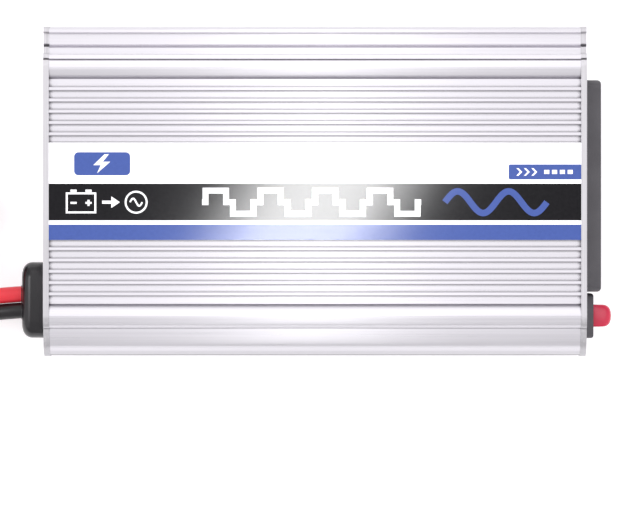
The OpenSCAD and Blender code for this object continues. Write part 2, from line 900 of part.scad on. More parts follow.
// Wires from the board to the outlet, the switch and the fan
module inner_wires() {
    color("firebrick") {
        tube([[52, 16, board_top], [52.2, 16.5, 16], [53.5, 17.6, 22], [56.5, 18.4, 27],
            [60, 18.5, 28.4], [socket_back, 18.5, panel_z]], 1.1);
        tube([[52, 2, board_top], [52.2, 1.5, 16], [53.5, 0.4, 22], [56.5, -0.4, 27],
            [60, -0.5, 28.4], [socket_back, -0.5, panel_z]], 1.1);
    }
    color("green")
    tube([[52, 9, board_top], [52.2, 9, 18], [53.5, 9, 25], [56.5, 9, 30],
        [60, 9, 31.4], [socket_back, 9, panel_z + earth_rise]], 1.1);
    color("black")
    for (side = [-1, 1]) tube([[46, switch_y + side * 2, board_top],
        [46.2, switch_y + side * 1.6, 16], [47.6, switch_y + side * 0.8, 20 + side * 2],
        [51, switch_y + side * 0.2, switch_z - 2 + side * 4],
        [56 - 0.02, switch_y, switch_z + side * 4.5]], 0.9);
    color("red")
    tube([[-68.3, 22, 25], [-66, 22, 24.6], [-64, 21.6, 22], [-63.6, 21, 17],
        [-63.6, 20.6, board_top]], 0.8);
}

// ---- battery clips ----
// Clip frame: pivot at the origin along Z, jaws towards -X, handles towards +X.

function jaw_teeth() = [for (i = [0 : tooth_count - 1])
    each [[-jaw_length + i * tooth_pitch, jaw_clearance],
          [-jaw_length + (i + 0.5) * tooth_pitch, jaw_clearance + tooth_depth]]];

// Line of the outside of one half, from the jaw's tip to the handle
clip_back = [[-25, 1.9], [-23.4, 3.7], [-19, 5.3], [-13, 6.6], [-6, 7.3], [0, 7.5], [4, 7.5],
    handle_start];

module clip_cheek() {
    polygon(concat(jaw_teeth(), [[-12, jaw_clearance], [-9.5, 2.6], [-4.5, 3.2], [4.5, 3.2],
        [9, handle_start[1] - handle_depth + 0.2]], reversed(clip_back)));
    circle(ear_r);
    translate(handle_start) rotate(handle_angle)
        translate([-0.6, -handle_depth]) square([handle_length + 0.6, handle_depth]);
}

module clip_back_strip() {
    inside = [for (p = clip_back) [p[0], p[1] - clip_metal]];
    polygon(concat([[-25, 1.0]], clip_back, reversed(inside)));
    translate(handle_start) rotate(handle_angle)
        translate([-0.6, -clip_metal]) square([handle_length + 0.6, clip_metal]);
}

// One half of the clip on the +Y side, bent from sheet, with a pin hole in each cheek
module clip_half(width, hole_r) {
    difference() {
        union() {
            for (z = [-width / 2, width / 2 - clip_metal]) translate([0, 0, z])
                linear_extrude(clip_metal) clip_cheek();
            translate([0, 0, -width / 2]) linear_extrude(width) clip_back_strip();
        }
        cylinder(h = width + 2, r = hole_r, center = true);
    }
}

module clip_grip(width) {
    translate([handle_start[0], handle_start[1], -clip_width / 2 - grip_wall])
    rotate(handle_angle) difference() {
        translate([grip_start, -handle_depth - grip_wall])
            cube([handle_length - grip_start + grip_cap, handle_depth + 2 * grip_wall,
                clip_width + 2 * grip_wall]);
        translate([grip_start - 1, -handle_depth - 0.03, clip_width / 2 + grip_wall - width / 2 - 0.03])
            cube([handle_length - grip_start + 1.03, handle_depth + 0.06, width + 0.06]);
    }
}

moving_width = clip_width - 2 * (clip_metal + clip_gap);

module clip_pin() {
    cylinder(h = clip_width + 1, r = clip_pin_r, center = true);
    for (side = [-1, 1]) translate([0, 0, side * (clip_width / 2 + 0.43)])
        cylinder(h = 0.8, r = 2.5, center = true);
}

// Torsion spring: rings round the pin and a leg against each half
module clip_spring() {
    for (i = [-2 : 2]) translate([0, 0, i])
        rotate_extrude() translate([2.45, 0]) circle(0.55, $fn = 16);
    for (side = [-1, 1]) {
        leg = [[1.2, side * 2.4, side * 2], [7, side * 4.6, side * 2.1],
            [17, side * (handle_start[1] + 9 * tan(handle_angle) - clip_metal - 0.7), side * 2.2]];
        tube(leg, 0.5);
    }
}

module at_clip(y, turned) {
    translate([clip_x, y, clip_z]) mirror([0, turned ? 1 : 0, 0]) children();
}

module red_clip_fixed_half() {
    color("silver") at_clip(red_clip_y, false) clip_half(clip_width, clip_pin_r + 0.03);
}

module red_clip_moving_half() {
    color("silver") at_clip(red_clip_y, true) clip_half(moving_width, clip_pin_r + 0.06);
}

module red_clip_pin() {
    color("gray") at_clip(red_clip_y, false) clip_pin();
}

module red_clip_spring() {
    color("gray") at_clip(red_clip_y, false) clip_spring();
}

module red_clip_fixed_grip() {
    color("red") at_clip(red_clip_y, false) clip_grip(clip_width);
}

module red_clip_moving_grip() {
    color("red") at_clip(red_clip_y, true) clip_grip(moving_width);
}

module black_clip_fixed_half() {
    color("silver") at_clip(black_clip_y, true) clip_half(clip_width, clip_pin_r + 0.03);
}

module black_clip_moving_half() {
    color("silver") at_clip(black_clip_y, false) clip_half(moving_width, clip_pin_r + 0.06);
}

module black_clip_pin() {
    color("gray") at_clip(black_clip_y, false) clip_pin();
}

module black_clip_spring() {
    color("gray") at_clip(black_clip_y, true) clip_spring();
}

module black_clip_fixed_grip() {
    color([0.1, 0.1, 0.1]) at_clip(black_clip_y, true) clip_grip(clip_width);
}

module black_clip_moving_grip() {
    color([0.1, 0.1, 0.1]) at_clip(black_clip_y, false) clip_grip(moving_width);
}

// ---- nodes ----

top_shell();
base_shell();
label();
dc_end_plate();
ac_end_plate();
dc_plate_screws();
ac_plate_screws();
socket_panel();
socket_body();
line_contacts();
earth_contact();
panel_screws();
usb_shell();
usb_tongue();
power_led();
fault_led();
front_board();
switch_housing();
switch_rocker();
switch_terminals();
cable_gland();
red_lead();
black_lead();
red_lead_tail();
black_lead_tail();
red_coil();
black_coil();
coil_tie();
lead_ends();
dc_terminals();
red_clip_fixed_half();
red_clip_moving_half();
red_clip_pin();
red_clip_spring();
red_clip_fixed_grip();
red_clip_moving_grip();
black_clip_fixed_half();
black_clip_moving_half();
black_clip_pin();
black_clip_spring();
black_clip_fixed_grip();
black_clip_moving_grip();
fan_frame();
fan_rotor();
fan_screws();
main_board();
transformer_core();
transformer_winding();
input_capacitors();
output_capacitor();
choke_core();
choke_winding();
input_transistors();
output_transistors();
transistor_clamps();
fuse_holder();
blade_fuses();
control_board();
buzzer();
inner_wires();
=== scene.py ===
"""Power inverter: a ribbed aluminium case with battery leads at one end and an outlet at the other.

Metres, in the CAD part's own frame: the origin at the centre of the base, +X towards the outlet, +Z up.
"""

import math

import bmesh
import bpy
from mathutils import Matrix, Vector


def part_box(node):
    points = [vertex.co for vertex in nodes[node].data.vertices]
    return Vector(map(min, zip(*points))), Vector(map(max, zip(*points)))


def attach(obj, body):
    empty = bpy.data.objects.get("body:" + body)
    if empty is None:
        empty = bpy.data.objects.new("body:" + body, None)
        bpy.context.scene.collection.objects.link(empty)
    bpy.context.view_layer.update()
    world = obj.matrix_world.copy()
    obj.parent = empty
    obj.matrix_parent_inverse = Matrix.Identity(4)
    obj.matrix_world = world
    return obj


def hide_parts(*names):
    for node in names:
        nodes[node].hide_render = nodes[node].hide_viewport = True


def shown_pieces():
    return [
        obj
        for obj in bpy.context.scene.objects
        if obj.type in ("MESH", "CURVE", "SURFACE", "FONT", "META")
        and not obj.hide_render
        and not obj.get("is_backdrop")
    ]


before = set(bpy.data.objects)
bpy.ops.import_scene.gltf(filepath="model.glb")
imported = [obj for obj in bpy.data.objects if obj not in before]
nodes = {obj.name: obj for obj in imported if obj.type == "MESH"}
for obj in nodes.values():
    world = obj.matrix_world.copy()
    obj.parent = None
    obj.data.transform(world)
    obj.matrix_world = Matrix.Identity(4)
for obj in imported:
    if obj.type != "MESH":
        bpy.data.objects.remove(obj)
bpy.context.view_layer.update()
MM = 0.001
top_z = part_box("top_shell")[1].z


# ---- camera ----

VIEW_WIDTH = 0.1882  # what the picture's width takes in, at the height of the case's top
CAMERA_RISE = 2.0
CAMERA_PLACE = (0.00147, -0.0202)

camera_data = bpy.data.cameras.new("camera")
camera_data.sensor_width = 36
camera_data.lens = camera_data.sensor_width * CAMERA_RISE / VIEW_WIDTH
camera_data.clip_start = 0.1
camera_data.clip_end = 20
camera = bpy.data.objects.new("camera", camera_data)
camera.location = (*CAMERA_PLACE, top_z + CAMERA_RISE)
bpy.context.scene.collection.objects.link(camera)
bpy.context.scene.camera = camera


# ---- materials ----

class Nodes:
    """A node tree, with short ways to add nodes to it."""

    def __init__(self, tree):
        self.tree = tree
        self.tree.nodes.clear()

    def node(self, kind, **settings):
        made = self.tree.nodes.new(kind)
        for key, value in settings.items():
            setattr(made, key, value)
        return made

    def link(self, start, end):
        self.tree.links.new(start, end)

    def feed(self, socket, value):
        """Links another node's output to a socket, or sets a number or an RGB colour on it."""
        if isinstance(value, bpy.types.NodeSocket):
            self.link(value, socket)
        elif hasattr(value, "__len__"):
            socket.default_value = (*value, 1)
        else:
            socket.default_value = value

    def split(self, vector):
        made = self.node("ShaderNodeSeparateXYZ")
        self.link(vector, made.inputs[0])
        return list(made.outputs)

    def maths(self, operation, a, b):
        made = self.node("ShaderNodeMath", operation=operation)
        self.feed(made.inputs[0], a)
        self.feed(made.inputs[1], b)
        return made.outputs[0]

    def product(self, *values):
        made = values[0]
        for value in values[1:]:
            made = self.maths("MULTIPLY", made, value)
        return made

    def ranged(self, value, low, high, start=0.3, end=0.7, interpolation="LINEAR"):
        made = self.node("ShaderNodeMapRange", interpolation_type=interpolation)
        self.link(value, made.inputs["Value"])
        for socket, number in (("From Min", start), ("From Max", end), ("To Min", low), ("To Max", high)):
            made.inputs[socket].default_value = number
        return made.outputs[0]


class Shader(Nodes):
    """A material with a Principled BSDF. Uniform values are set straight on its sockets."""

    def __init__(self, name, **sockets):
        self.material = bpy.data.materials.new(name)
        self.material.use_nodes = True
        super().__init__(self.material.node_tree)
        output = self.node("ShaderNodeOutputMaterial")
        self.bsdf = self.node("ShaderNodeBsdfPrincipled")
        self.link(self.bsdf.outputs[0], output.inputs["Surface"])
        coordinates = self.node("ShaderNodeTexCoord")
        self.place = coordinates.outputs["Object"]
        self.normal = coordinates.outputs["Normal"]
        for socket, value in sockets.items():
            self.set(socket.replace("_", " "), value)

    def set(self, socket, value):
        self.feed(self.bsdf.inputs[socket], value)

    def stretched(self, stretch):
        mapping = self.node("ShaderNodeMapping")
        mapping.inputs["Scale"].default_value = stretch
        self.link(self.place, mapping.inputs["Vector"])
        return mapping.outputs[0]

    def noise(self, scale, stretch=(1, 1, 1), detail=4.0, rough=0.55):
        made = self.node("ShaderNodeTexNoise")
        made.inputs["Scale"].default_value = scale
        made.inputs["Detail"].default_value = detail
        made.inputs["Roughness"].default_value = rough
        self.link(self.stretched(stretch), made.inputs["Vector"])
        return made.outputs[0]

    def cells(self, scale, stretch=(1, 1, 1), feature="F1"):
        made = self.node("ShaderNodeTexVoronoi", feature=feature)
        made.inputs["Scale"].default_value = scale
        self.link(self.stretched(stretch), made.inputs["Vector"])
        return made.outputs["Distance"]

    def waves(self, scale, axis, distortion):
        made = self.node("ShaderNodeTexWave", bands_direction=axis)
        made.inputs["Scale"].default_value = scale
        made.inputs["Distortion"].default_value = distortion
        self.link(self.place, made.inputs["Vector"])
        return made.outputs["Fac"]

    def crease_shade(self, reach, start=0.7, end=0.3, share=0.8):
        """How much painted shade a point gets for lying deep in a groove or a corner, from 0 in the open.
        """
        made = self.node("ShaderNodeAmbientOcclusion", samples=8)
        made.inputs["Distance"].default_value = reach
        return self.ranged(made.outputs["AO"], share, 0, end, start)

    def mixed(self, share, a, b):
        made = self.node("ShaderNodeMix", data_type="RGBA")
        for i, value in ((0, share), (6, a), (7, b)):
            self.feed(made.inputs[i], value)
        return made.outputs[2]

    def bands(self, value, stops):
        """Plain colours side by side, each from its stop on."""
        made = self.node("ShaderNodeValToRGB")
        made.color_ramp.interpolation = "CONSTANT"
        while len(made.color_ramp.elements) < len(stops):
            made.color_ramp.elements.new(0.5)
        for element, (position, colour) in zip(made.color_ramp.elements, stops):
            element.position = position
            element.color = (*colour, 1)
        self.link(value, made.inputs[0])
        return made.outputs[0]

    def bump(self, *layers):
        """Each layer is (height, depth in metres); the later ones lie on the earlier."""
        under = None
        for height, depth in layers:
            made = self.node("ShaderNodeBump")
            made.inputs["Strength"].default_value = 1.0
            made.inputs["Distance"].default_value = depth
            self.link(height, made.inputs["Height"])
            if under is not None:
                self.link(under, made.inputs["Normal"])
            under = made.outputs[0]
        self.link(under, self.bsdf.inputs["Normal"])


# Colours of painted shade: on the case's upright faces, on the plates' rims that face the near side, in
# grooves and corners, and in a line along the near side.
UPRIGHT_SHADE_TONE = (0.30, 0.292, 0.315)
NEAR_RIM_SHADE_TONE = (0.26, 0.255, 0.27)
CREASE_SHADE_TONE = (0.12, 0.115, 0.13)
RIB_GROOVE_SHADE_TONE = (0.10, 0.096, 0.108)
NEAR_EDGE_SHADE_TONE = (0.03, 0.029, 0.032)


def far_channel(s):
    """1 in the open part of the channel along the far side, 0 elsewhere, with soft edges."""
    y = s.split(s.place)[1]
    return s.product(s.ranged(y, 0, 0.9, 37.9 * MM, 38.2 * MM), s.ranged(y, 1, 0, 47.8 * MM, 48.1 * MM))


def near_edge_shade_line(s):
    """Painted shade: a dark line along the near side, above where the side turns upright, standing in for
    the dark reflection along the near edge.
    """
    _, y, z = s.split(s.place)
    return s.product(s.ranged(z, 0, 0.8, 45.3 * MM, 45.5 * MM), s.ranged(z, 1, 0, 46.5 * MM, 46.7 * MM),
                     s.ranged(y, 0, 1, -47 * MM, -47.5 * MM))


def extruded_aluminium():
    """Satin anodised aluminium with the fine lines that the die leaves along X; painted shade on its
    upright faces, in the grooves between the ribs and in a line along the near side.
    """
    s = Shader("case_aluminium", Metallic=1.0)
    lines = s.noise(1, (9, 2600, 2600), detail=5, rough=0.6)
    broad = s.noise(1, (3, 160, 160), detail=2)
    cloud = s.noise(30, detail=3)
    shade = s.mixed(s.ranged(lines, 0, 1), (0.77, 0.755, 0.793), (0.845, 0.83, 0.868))
    shade = s.mixed(s.ranged(broad, 0, 0.3), shade, (0.88, 0.865, 0.905))
    # Painted shade on the upright faces and in the grooves between the ribs; the far channel is left out of
    # it and stays brighter.
    elsewhere = s.maths("SUBTRACT", 1, far_channel(s))
    upright = s.ranged(s.split(s.normal)[2], 0.62, 0, 0.45, 0.78)
    shade = s.mixed(s.product(upright, elsewhere), shade, UPRIGHT_SHADE_TONE)
    # Painted shade: a dark line along the near side.
    shade = s.mixed(near_edge_shade_line(s), shade, NEAR_EDGE_SHADE_TONE)
    # Painted shade in the grooves between the ribs, darker the more occluded they are.
    groove_shade = s.crease_shade(1.3 * MM, start=0.76, end=0.34, share=0.95)
    s.set("Base Color", s.mixed(s.product(groove_shade, elsewhere), shade, RIB_GROOVE_SHADE_TONE))
    s.set("Roughness", s.maths("ADD", s.ranged(lines, 0.27, 0.32), s.ranged(cloud, -0.01, 0.015)))
    s.bump((lines, 0.0015 * MM), (s.noise(9000, detail=2), 0.0006 * MM))
    return s.material


def plate_aluminium():
    """Sheet aluminium brushed along Y, with faint handling marks; painted shade on the rims that face the
    near side and in grooves and corners.
    """
    s = Shader("plate_aluminium", Metallic=1.0)
    lines = s.noise(1, (2400, 14, 2400), detail=5, rough=0.62)
    cloud = s.noise(45, detail=3)
    shade = s.mixed(s.ranged(lines, 0, 1), (0.60, 0.59, 0.61), (0.72, 0.71, 0.73))
    # Painted shade on the rims that face the near side.
    near_rim_shade = s.ranged(s.split(s.normal)[1], 0.6, 0, -0.9, -0.5)
    shade = s.mixed(near_rim_shade, shade, NEAR_RIM_SHADE_TONE)
    # Painted shade in grooves and corners, from ambient occlusion.
    s.set("Base Color", s.mixed(s.crease_shade(0.8 * MM), shade, CREASE_SHADE_TONE))
    s.set("Roughness", s.maths("ADD", s.ranged(lines, 0.28, 0.40), s.ranged(cloud, -0.03, 0.05)))
    s.bump((lines, 0.010 * MM))
    return s.material


INK_BLACK = (0.0045, 0.0042, 0.0055)
INK_BLUE = (0.056, 0.092, 0.295)
INK_WHITE = (0.90, 0.90, 0.91)
INK_GREY = (0.42, 0.42, 0.46)
LABEL_HALF = 14.4 * MM
BLUE_TOP = -9.85 * MM
BLACK_LOW = -8.55 * MM
BLACK_TOP = 2.15 * MM
FILM_SHINE = 0.13


def film_skin(s):
    """The film's clear skin, which all the inks on it share."""
    s.set("Roughness", s.ranged(s.noise(900, detail=2), 0.092, 0.096))
    s.bump((s.noise(900, detail=3), 0.00005 * MM))


def label_film():
    """Printed film in bands along X: white, black, a white line and blue."""
    s = Shader("label_film", Specular_IOR_Level=FILM_SHINE)
    across = s.ranged(s.split(s.place)[1], 0, 1, -LABEL_HALF, LABEL_HALF)
    stops = [(0, INK_BLUE)]
    for y, colour in ((BLUE_TOP, INK_WHITE), (BLACK_LOW, INK_BLACK), (BLACK_TOP, INK_WHITE)):
        stops.append(((y + LABEL_HALF) / (2 * LABEL_HALF), colour))
    mottle = s.noise(900, detail=3)
    s.set("Base Color", s.mixed(s.ranged(mottle, 0.0, 0.003), s.bands(across, stops), (0.9, 0.9, 0.95)))
    film_skin(s)
    return s.material


def ink(name, colour, shine=FILM_SHINE):
    """One printed colour on the label."""
    s = Shader(name, Specular_IOR_Level=shine)
    darker = tuple(c * 0.92 for c in colour)
    s.set("Base Color", s.mixed(s.ranged(s.noise(900, detail=3), 0, 1), colour, darker))
    film_skin(s)
    return s.material


def metal(name, dark, light, rough=(0.2, 0.32), stretch=(1, 1, 1)):
    """Bare or plated metal: a fine grain, patches of duller metal and small scratches."""
    s = Shader(name, Metallic=1.0)
    grain = s.noise(1800, stretch, detail=5, rough=0.6)
    patches = s.noise(140, detail=3)
    scratches = s.noise(1, (260, 3200, 260), detail=3, rough=0.7)
    s.set("Base Color", s.mixed(s.ranged(patches, 0, 1), dark, light))
    s.set("Roughness", s.maths("ADD", s.ranged(grain, *rough), s.ranged(patches, -0.03, 0.05)))
    s.bump((grain, 0.006 * MM), (s.ranged(scratches, 0, 1, 0.62, 0.8), 0.004 * MM))
    return s.material


def moulded(name, colour, rough, scale, depth, tint, cells=False, **sockets):
    """Moulded plastic or rubber: a fine spark-eroded grain, slight shade changes and rubbed spots."""
    s = Shader(name, **sockets)
    grain = s.cells(scale) if cells else s.noise(scale, detail=4, rough=0.6)
    patches = s.noise(110, detail=3)
    deeper = tuple(c * tint for c in colour)
    s.set("Base Color", s.mixed(s.ranged(patches, 0, 1), colour, deeper))
    s.set("Roughness", s.maths("ADD", s.ranged(grain, *rough), s.ranged(patches, -0.04, 0.05)))
    s.bump((grain, depth * MM), (s.noise(400, detail=2), 0.004 * MM))
    return s.material


def board():
    """Green solder mask over copper tracks, with tinned pads."""
    s = Shader("board_green")
    tracks = s.cells(420, (1, 1.6, 1), "DISTANCE_TO_EDGE")
    pads = s.cells(300)
    mask = s.mixed(s.ranged(tracks, 0, 1, 0.06, 0.09), (0.020, 0.16, 0.055), (0.008, 0.085, 0.030))
    pad = s.ranged(pads, 1, 0, 0.16, 0.20)
    s.set("Base Color", s.mixed(pad, mask, (0.62, 0.60, 0.56)))
    s.set("Metallic", pad)
    s.set("Roughness", s.ranged(s.noise(700, detail=3), 0.25, 0.4))
    s.bump((s.ranged(tracks, 1, 0, 0.06, 0.09), 0.03 * MM), (pad, 0.05 * MM))
    return s.material


def lens(name, colour):
    """Clear tinted epoxy."""
    s = Shader(name, Transmission_Weight=0.45, IOR=1.5, Coat_Weight=0.4)
    swirl = s.noise(600, detail=2)
    s.set("Base Color", s.mixed(s.ranged(swirl, 0, 1), colour, tuple(c * 0.8 for c in colour)))
    s.set("Roughness", s.ranged(s.noise(1500), 0.08, 0.16))
    s.bump((swirl, 0.004 * MM))
    return s.material


def winding():
    """Enamelled copper wire laid side by side."""
    s = Shader("winding_copper", Metallic=0.85)
    turns = s.waves(900, "Z", 0.6)
    tone = s.mixed(s.ranged(s.noise(200, detail=3), 0, 1), (0.60, 0.22, 0.07), (0.45, 0.14, 0.04))
    s.set("Base Color", s.mixed(turns, (0.18, 0.05, 0.02), tone))
    s.set("Roughness", s.ranged(turns, 0.5, 0.28, 0, 1))
    s.bump((turns, 0.12 * MM))
    return s.material


finishes = {
    "case_aluminium": extruded_aluminium(),
    "plate_aluminium": plate_aluminium(),
    "label_film": label_film(),
    "screw_steel": metal("screw_steel", (0.42, 0.42, 0.45), (0.66, 0.66, 0.69)),
    "grey_plastic": moulded("grey_plastic", (0.108, 0.104, 0.113), (0.42, 0.58), 3200, 0.035, 0.85),
    "contact_brass": metal("contact_brass", (0.62, 0.42, 0.16), (0.80, 0.58, 0.26)),
    "usb_steel": metal("usb_steel", (0.48, 0.48, 0.50), (0.72, 0.72, 0.74), (0.16, 0.26), (1, 14, 14)),
    "white_plastic": moulded("white_plastic", (0.62, 0.62, 0.60), (0.35, 0.45), 2600, 0.02, 0.93),
    "green_lens": lens("green_lens", (0.05, 0.55, 0.10)),
    "red_lens": lens("red_lens", (0.70, 0.03, 0.03)),
    "board_green": board(),
    "red_rocker": moulded("red_rocker", (0.74, 0.022, 0.075), (0.18, 0.26), 900, 0.006, 0.85),
    "gland_rubber": moulded("gland_rubber", (0.014, 0.013, 0.015), (0.17, 0.23), 1500, 0.003, 0.8),
    "red_pvc": moulded("red_pvc", (0.98, 0.040, 0.060), (0.30, 0.40), 700, 0.012, 0.88),
    "black_pvc": moulded("black_pvc", (0.009, 0.008, 0.009), (0.32, 0.42), 700, 0.012, 0.8),
    "tie_plastic": moulded("tie_plastic", (0.030, 0.030, 0.033), (0.30, 0.42), 1600, 0.012, 0.8),
    "copper_wire": metal("copper_wire", (0.62, 0.26, 0.13), (0.80, 0.40, 0.22), stretch=(1, 12, 12)),
    "clip_steel": metal("clip_steel", (0.33, 0.325, 0.32), (0.55, 0.54, 0.53), (0.26, 0.42), (1, 5, 1)),
    "spring_steel": metal("spring_steel", (0.24, 0.24, 0.25), (0.42, 0.42, 0.44), (0.20, 0.30)),
    "red_grip": moulded("red_grip", (0.62, 0.022, 0.030), (0.36, 0.46), 1200, 0.03, 0.85),
    "black_grip": moulded("black_grip", (0.020, 0.020, 0.022), (0.36, 0.46), 1200, 0.03, 0.8),
    "fan_plastic": moulded("fan_plastic", (0.014, 0.014, 0.016), (0.34, 0.46), 2200, 0.02, 0.8),
    "ferrite": moulded("ferrite", (0.035, 0.035, 0.040), (0.55, 0.7), 1500, 0.05, 0.7, cells=True),
    "ferrite_yellow": moulded("ferrite_yellow", (0.72, 0.52, 0.04), (0.3, 0.4), 1200, 0.02, 0.9),
    "winding_copper": winding(),
    "capacitor_sleeve": moulded("capacitor_sleeve", (0.014, 0.020, 0.065), (0.22, 0.32), 500, 0.01, 0.8),
    "chip_epoxy": moulded("chip_epoxy", (0.018, 0.018, 0.020), (0.55, 0.7), 4000, 0.03, 0.8),
    "fuse_yellow": moulded("fuse_yellow", (0.80, 0.50, 0.03), (0.2, 0.3), 900, 0.006, 0.85),
    "wire_pvc": moulded("wire_pvc", (0.45, 0.03, 0.03), (0.3, 0.4), 900, 0.01, 0.8),
}
WHITE_INK = ink("white_ink", INK_WHITE)
BLUE_INK = ink("blue_ink", INK_BLUE, shine=0.11)
GREY_INK = ink("grey_ink", INK_GREY)


# ---- pieces ----

def piece(name, data, material, body="case", replaces=(), smooth=True):
    """An object made of a mesh or curve, on its CAD body and with its finish."""
    made = bpy.data.objects.new(name, data)
    bpy.context.scene.collection.objects.link(made)
    data.materials.append(material)
    if smooth and isinstance(data, bpy.types.Mesh):
        for face in data.polygons:
            face.use_smooth = True
    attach(made, body)
    if replaces:
        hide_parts(*replaces)
    return made


def mesh_of(name, points, faces):
    mesh = bpy.data.meshes.new(name)
    mesh.from_pydata([tuple(p) for p in points], [], faces)
    bm = bmesh.new()
    bm.from_mesh(mesh)
    bmesh.ops.recalc_face_normals(bm, faces=bm.faces)
    bm.to_mesh(mesh)
    bm.free()
    return mesh


def skinned(loops, closed=False):
    """Points and faces of a skin over loops with the same number of points, capped if it isn't closed."""
    count = len(loops[0])
    points = [p for loop in loops for p in loop]
    faces = []
    for i in range(len(loops) if closed else len(loops) - 1):
        a, b = i * count, (i + 1) % len(loops) * count
        faces += [(a + k, a + (k + 1) % count, b + (k + 1) % count, b + k) for k in range(count)]
    if not closed:
        faces.append(tuple(range(count - 1, -1, -1)))
        faces.append(tuple((len(loops) - 1) * count + k for k in range(count)))
    return points, faces


def merged(parts):
    """Several (points, faces) as one."""
    points, faces = [], []
    for more_points, more_faces in parts:
        base = len(points)
        points += list(more_points)
        faces += [tuple(base + i for i in face) for face in more_faces]
    return points, faces


def swept(line, radius, sides=16):
    """Points and faces of a round tube along a line, with domed ends."""
    line = [Vector(p) for p in line]
    loops, side = [], None
    for i, p in enumerate(line):
        ahead = (line[min(i + 1, len(line) - 1)] - line[max(i - 1, 0)]).normalized()
        if side is None:
            side = ahead.orthogonal().normalized()
        side = (side - ahead * side.dot(ahead)).normalized()
        up = ahead.cross(side)
        spots = [(0, 1)]
        if i in (0, len(line) - 1):
            spots = [(math.sin(a), math.cos(a)) for a in (0, 0.5, 1.0, 1.35)]
            spots = [(-d, r) for d, r in reversed(spots)] if i == 0 else spots
        for shift, share in spots:
            centre = p + ahead * shift * radius
            loops.append([centre + (side * math.cos(t) + up * math.sin(t)) * radius * share
                          for t in (2 * math.pi * k / sides for k in range(sides))])
    return skinned(loops)


def bevelled(made, width, segments, angle):
    bevel = made.modifiers.new("bevel", "BEVEL")
    bevel.width = width
    bevel.segments = segments
    bevel.limit_method = "ANGLE"
    bevel.angle_limit = math.radians(angle)
    bevel.harden_normals = True
    return bevel


def rounded_by(made, width, flatten):
    """Joins the mesh's split edges and rounds its sharp ones."""
    weld = made.modifiers.new("weld", "WELD")
    weld.merge_threshold = 1e-6
    if flatten:
        dissolve = made.modifiers.new("dissolve", "DECIMATE")
        dissolve.decimate_type = "DISSOLVE"
        dissolve.angle_limit = math.radians(0.5)
    bevel = bevelled(made, width, segments=3, angle=35)
    bevel.miter_outer = "MITER_ARC"


def cable(name, line, radius, resolution):
    """A curve with a round section along a line given in millimetres."""
    curve = bpy.data.curves.new(name, "CURVE")
    curve.dimensions = "3D"
    curve.bevel_depth = radius * MM
    curve.bevel_resolution = resolution
    curve.use_fill_caps = True
    spline = curve.splines.new("POLY")
    spline.points.add(len(line) - 1)
    for point, place in zip(spline.points, line):
        point.co = (*(c * MM for c in place), 1)
    spline.use_smooth = True
    return curve


# ---- battery leads ----

STEPS_BETWEEN_POINTS = 6


def through(points):
    """A smooth line through given points (a centripetal Catmull-Rom curve)."""
    points = [Vector(p) for p in points]
    ends = [points[0] * 2 - points[1], *points, points[-1] * 2 - points[-2]]
    line = []
    for i in range(len(points) - 1):
        p0, p1, p2, p3 = ends[i:i + 4]
        t0 = 0
        t1 = t0 + math.sqrt((p1 - p0).length)
        t2 = t1 + math.sqrt((p2 - p1).length)
        t3 = t2 + math.sqrt((p3 - p2).length)
        for k in range(STEPS_BETWEEN_POINTS):
            t = t1 + (t2 - t1) * k / STEPS_BETWEEN_POINTS
            a1 = p0 * ((t1 - t) / (t1 - t0)) + p1 * ((t - t0) / (t1 - t0))
            a2 = p1 * ((t2 - t) / (t2 - t1)) + p2 * ((t - t1) / (t2 - t1))
            a3 = p2 * ((t3 - t) / (t3 - t2)) + p3 * ((t - t2) / (t3 - t2))
            b1 = a1 * ((t2 - t) / (t2 - t0)) + a2 * ((t - t0) / (t2 - t0))
            b2 = a2 * ((t3 - t) / (t3 - t1)) + a3 * ((t - t1) / (t3 - t1))
            line.append(b1 * ((t2 - t) / (t2 - t1)) + b2 * ((t - t1) / (t2 - t1)))
    line.append(points[-1])
    return line


LEAD_D = 4.8
RED_Y = -30.4
BLACK_Y = -35.3
LEAD_Z = 17
COIL_X = -138
TURN_PITCH = 5.0
STEPS_PER_TURN = 40


def coil_line(centre_y, radius, turns, low_z, high_z):
    """Turns laid clockwise seen from above: inwards on the lower layer, then outwards on the upper one."""
    line = []
    count = round(turns * STEPS_PER_TURN)
    for i in range(count + 1):
        done = turns * i / count
        angle = -math.pi / 2 - 2 * math.pi * done
        r = radius - TURN_PITCH * min(done, turns - done)
        rise = min(1, max(0, (done - turns / 2) / 0.26 + 0.5))
        rise = rise * rise * (3 - 2 * rise)
        line.append((COIL_X + r * math.cos(angle), centre_y + r * math.sin(angle),
                     low_z + (high_z - low_z) * rise))
    return line


red_line = through(
    [(-84, RED_Y, LEAD_Z), (-87.7, RED_Y, LEAD_Z), (-92, -30.7, 16.9), (-100, -31.3, 16.3),
     (-108, -31.7, 15.2), (-116, -31.9, 14), (-122, -32.1, 13.3), (-128, -32.2, 12.9), (-133, -32.2, 12.9)])
red_line += coil_line(-3.2, 29, turns=3.25, low_z=12.9, high_z=17.8)
red_line += through(
    [(-167.1, 2, 17.7), (-167.7, 8, 17.2), (-169.4, 14, 16.2), (-172.6, 20.5, 14.4), (-177.3, 26.4, 12),
     (-183.6, 30.8, 9.4), (-191.5, 32.9, 7.3), (-199.9, 31.9, 6.5)])
black_line = through(
    [(-84, BLACK_Y, LEAD_Z), (-87.7, BLACK_Y, LEAD_Z), (-92, -35.6, 16.6), (-99, -36.1, 14.7),
     (-106, -36.3, 11.5), (-113, -36.3, 8), (-120, -36.2, 5.2), (-126, -36.2, 3.8), (-132, -36.2, 3.2)])
black_line += coil_line(-6.2, 30, turns=3, low_z=3.2, high_z=8.1)
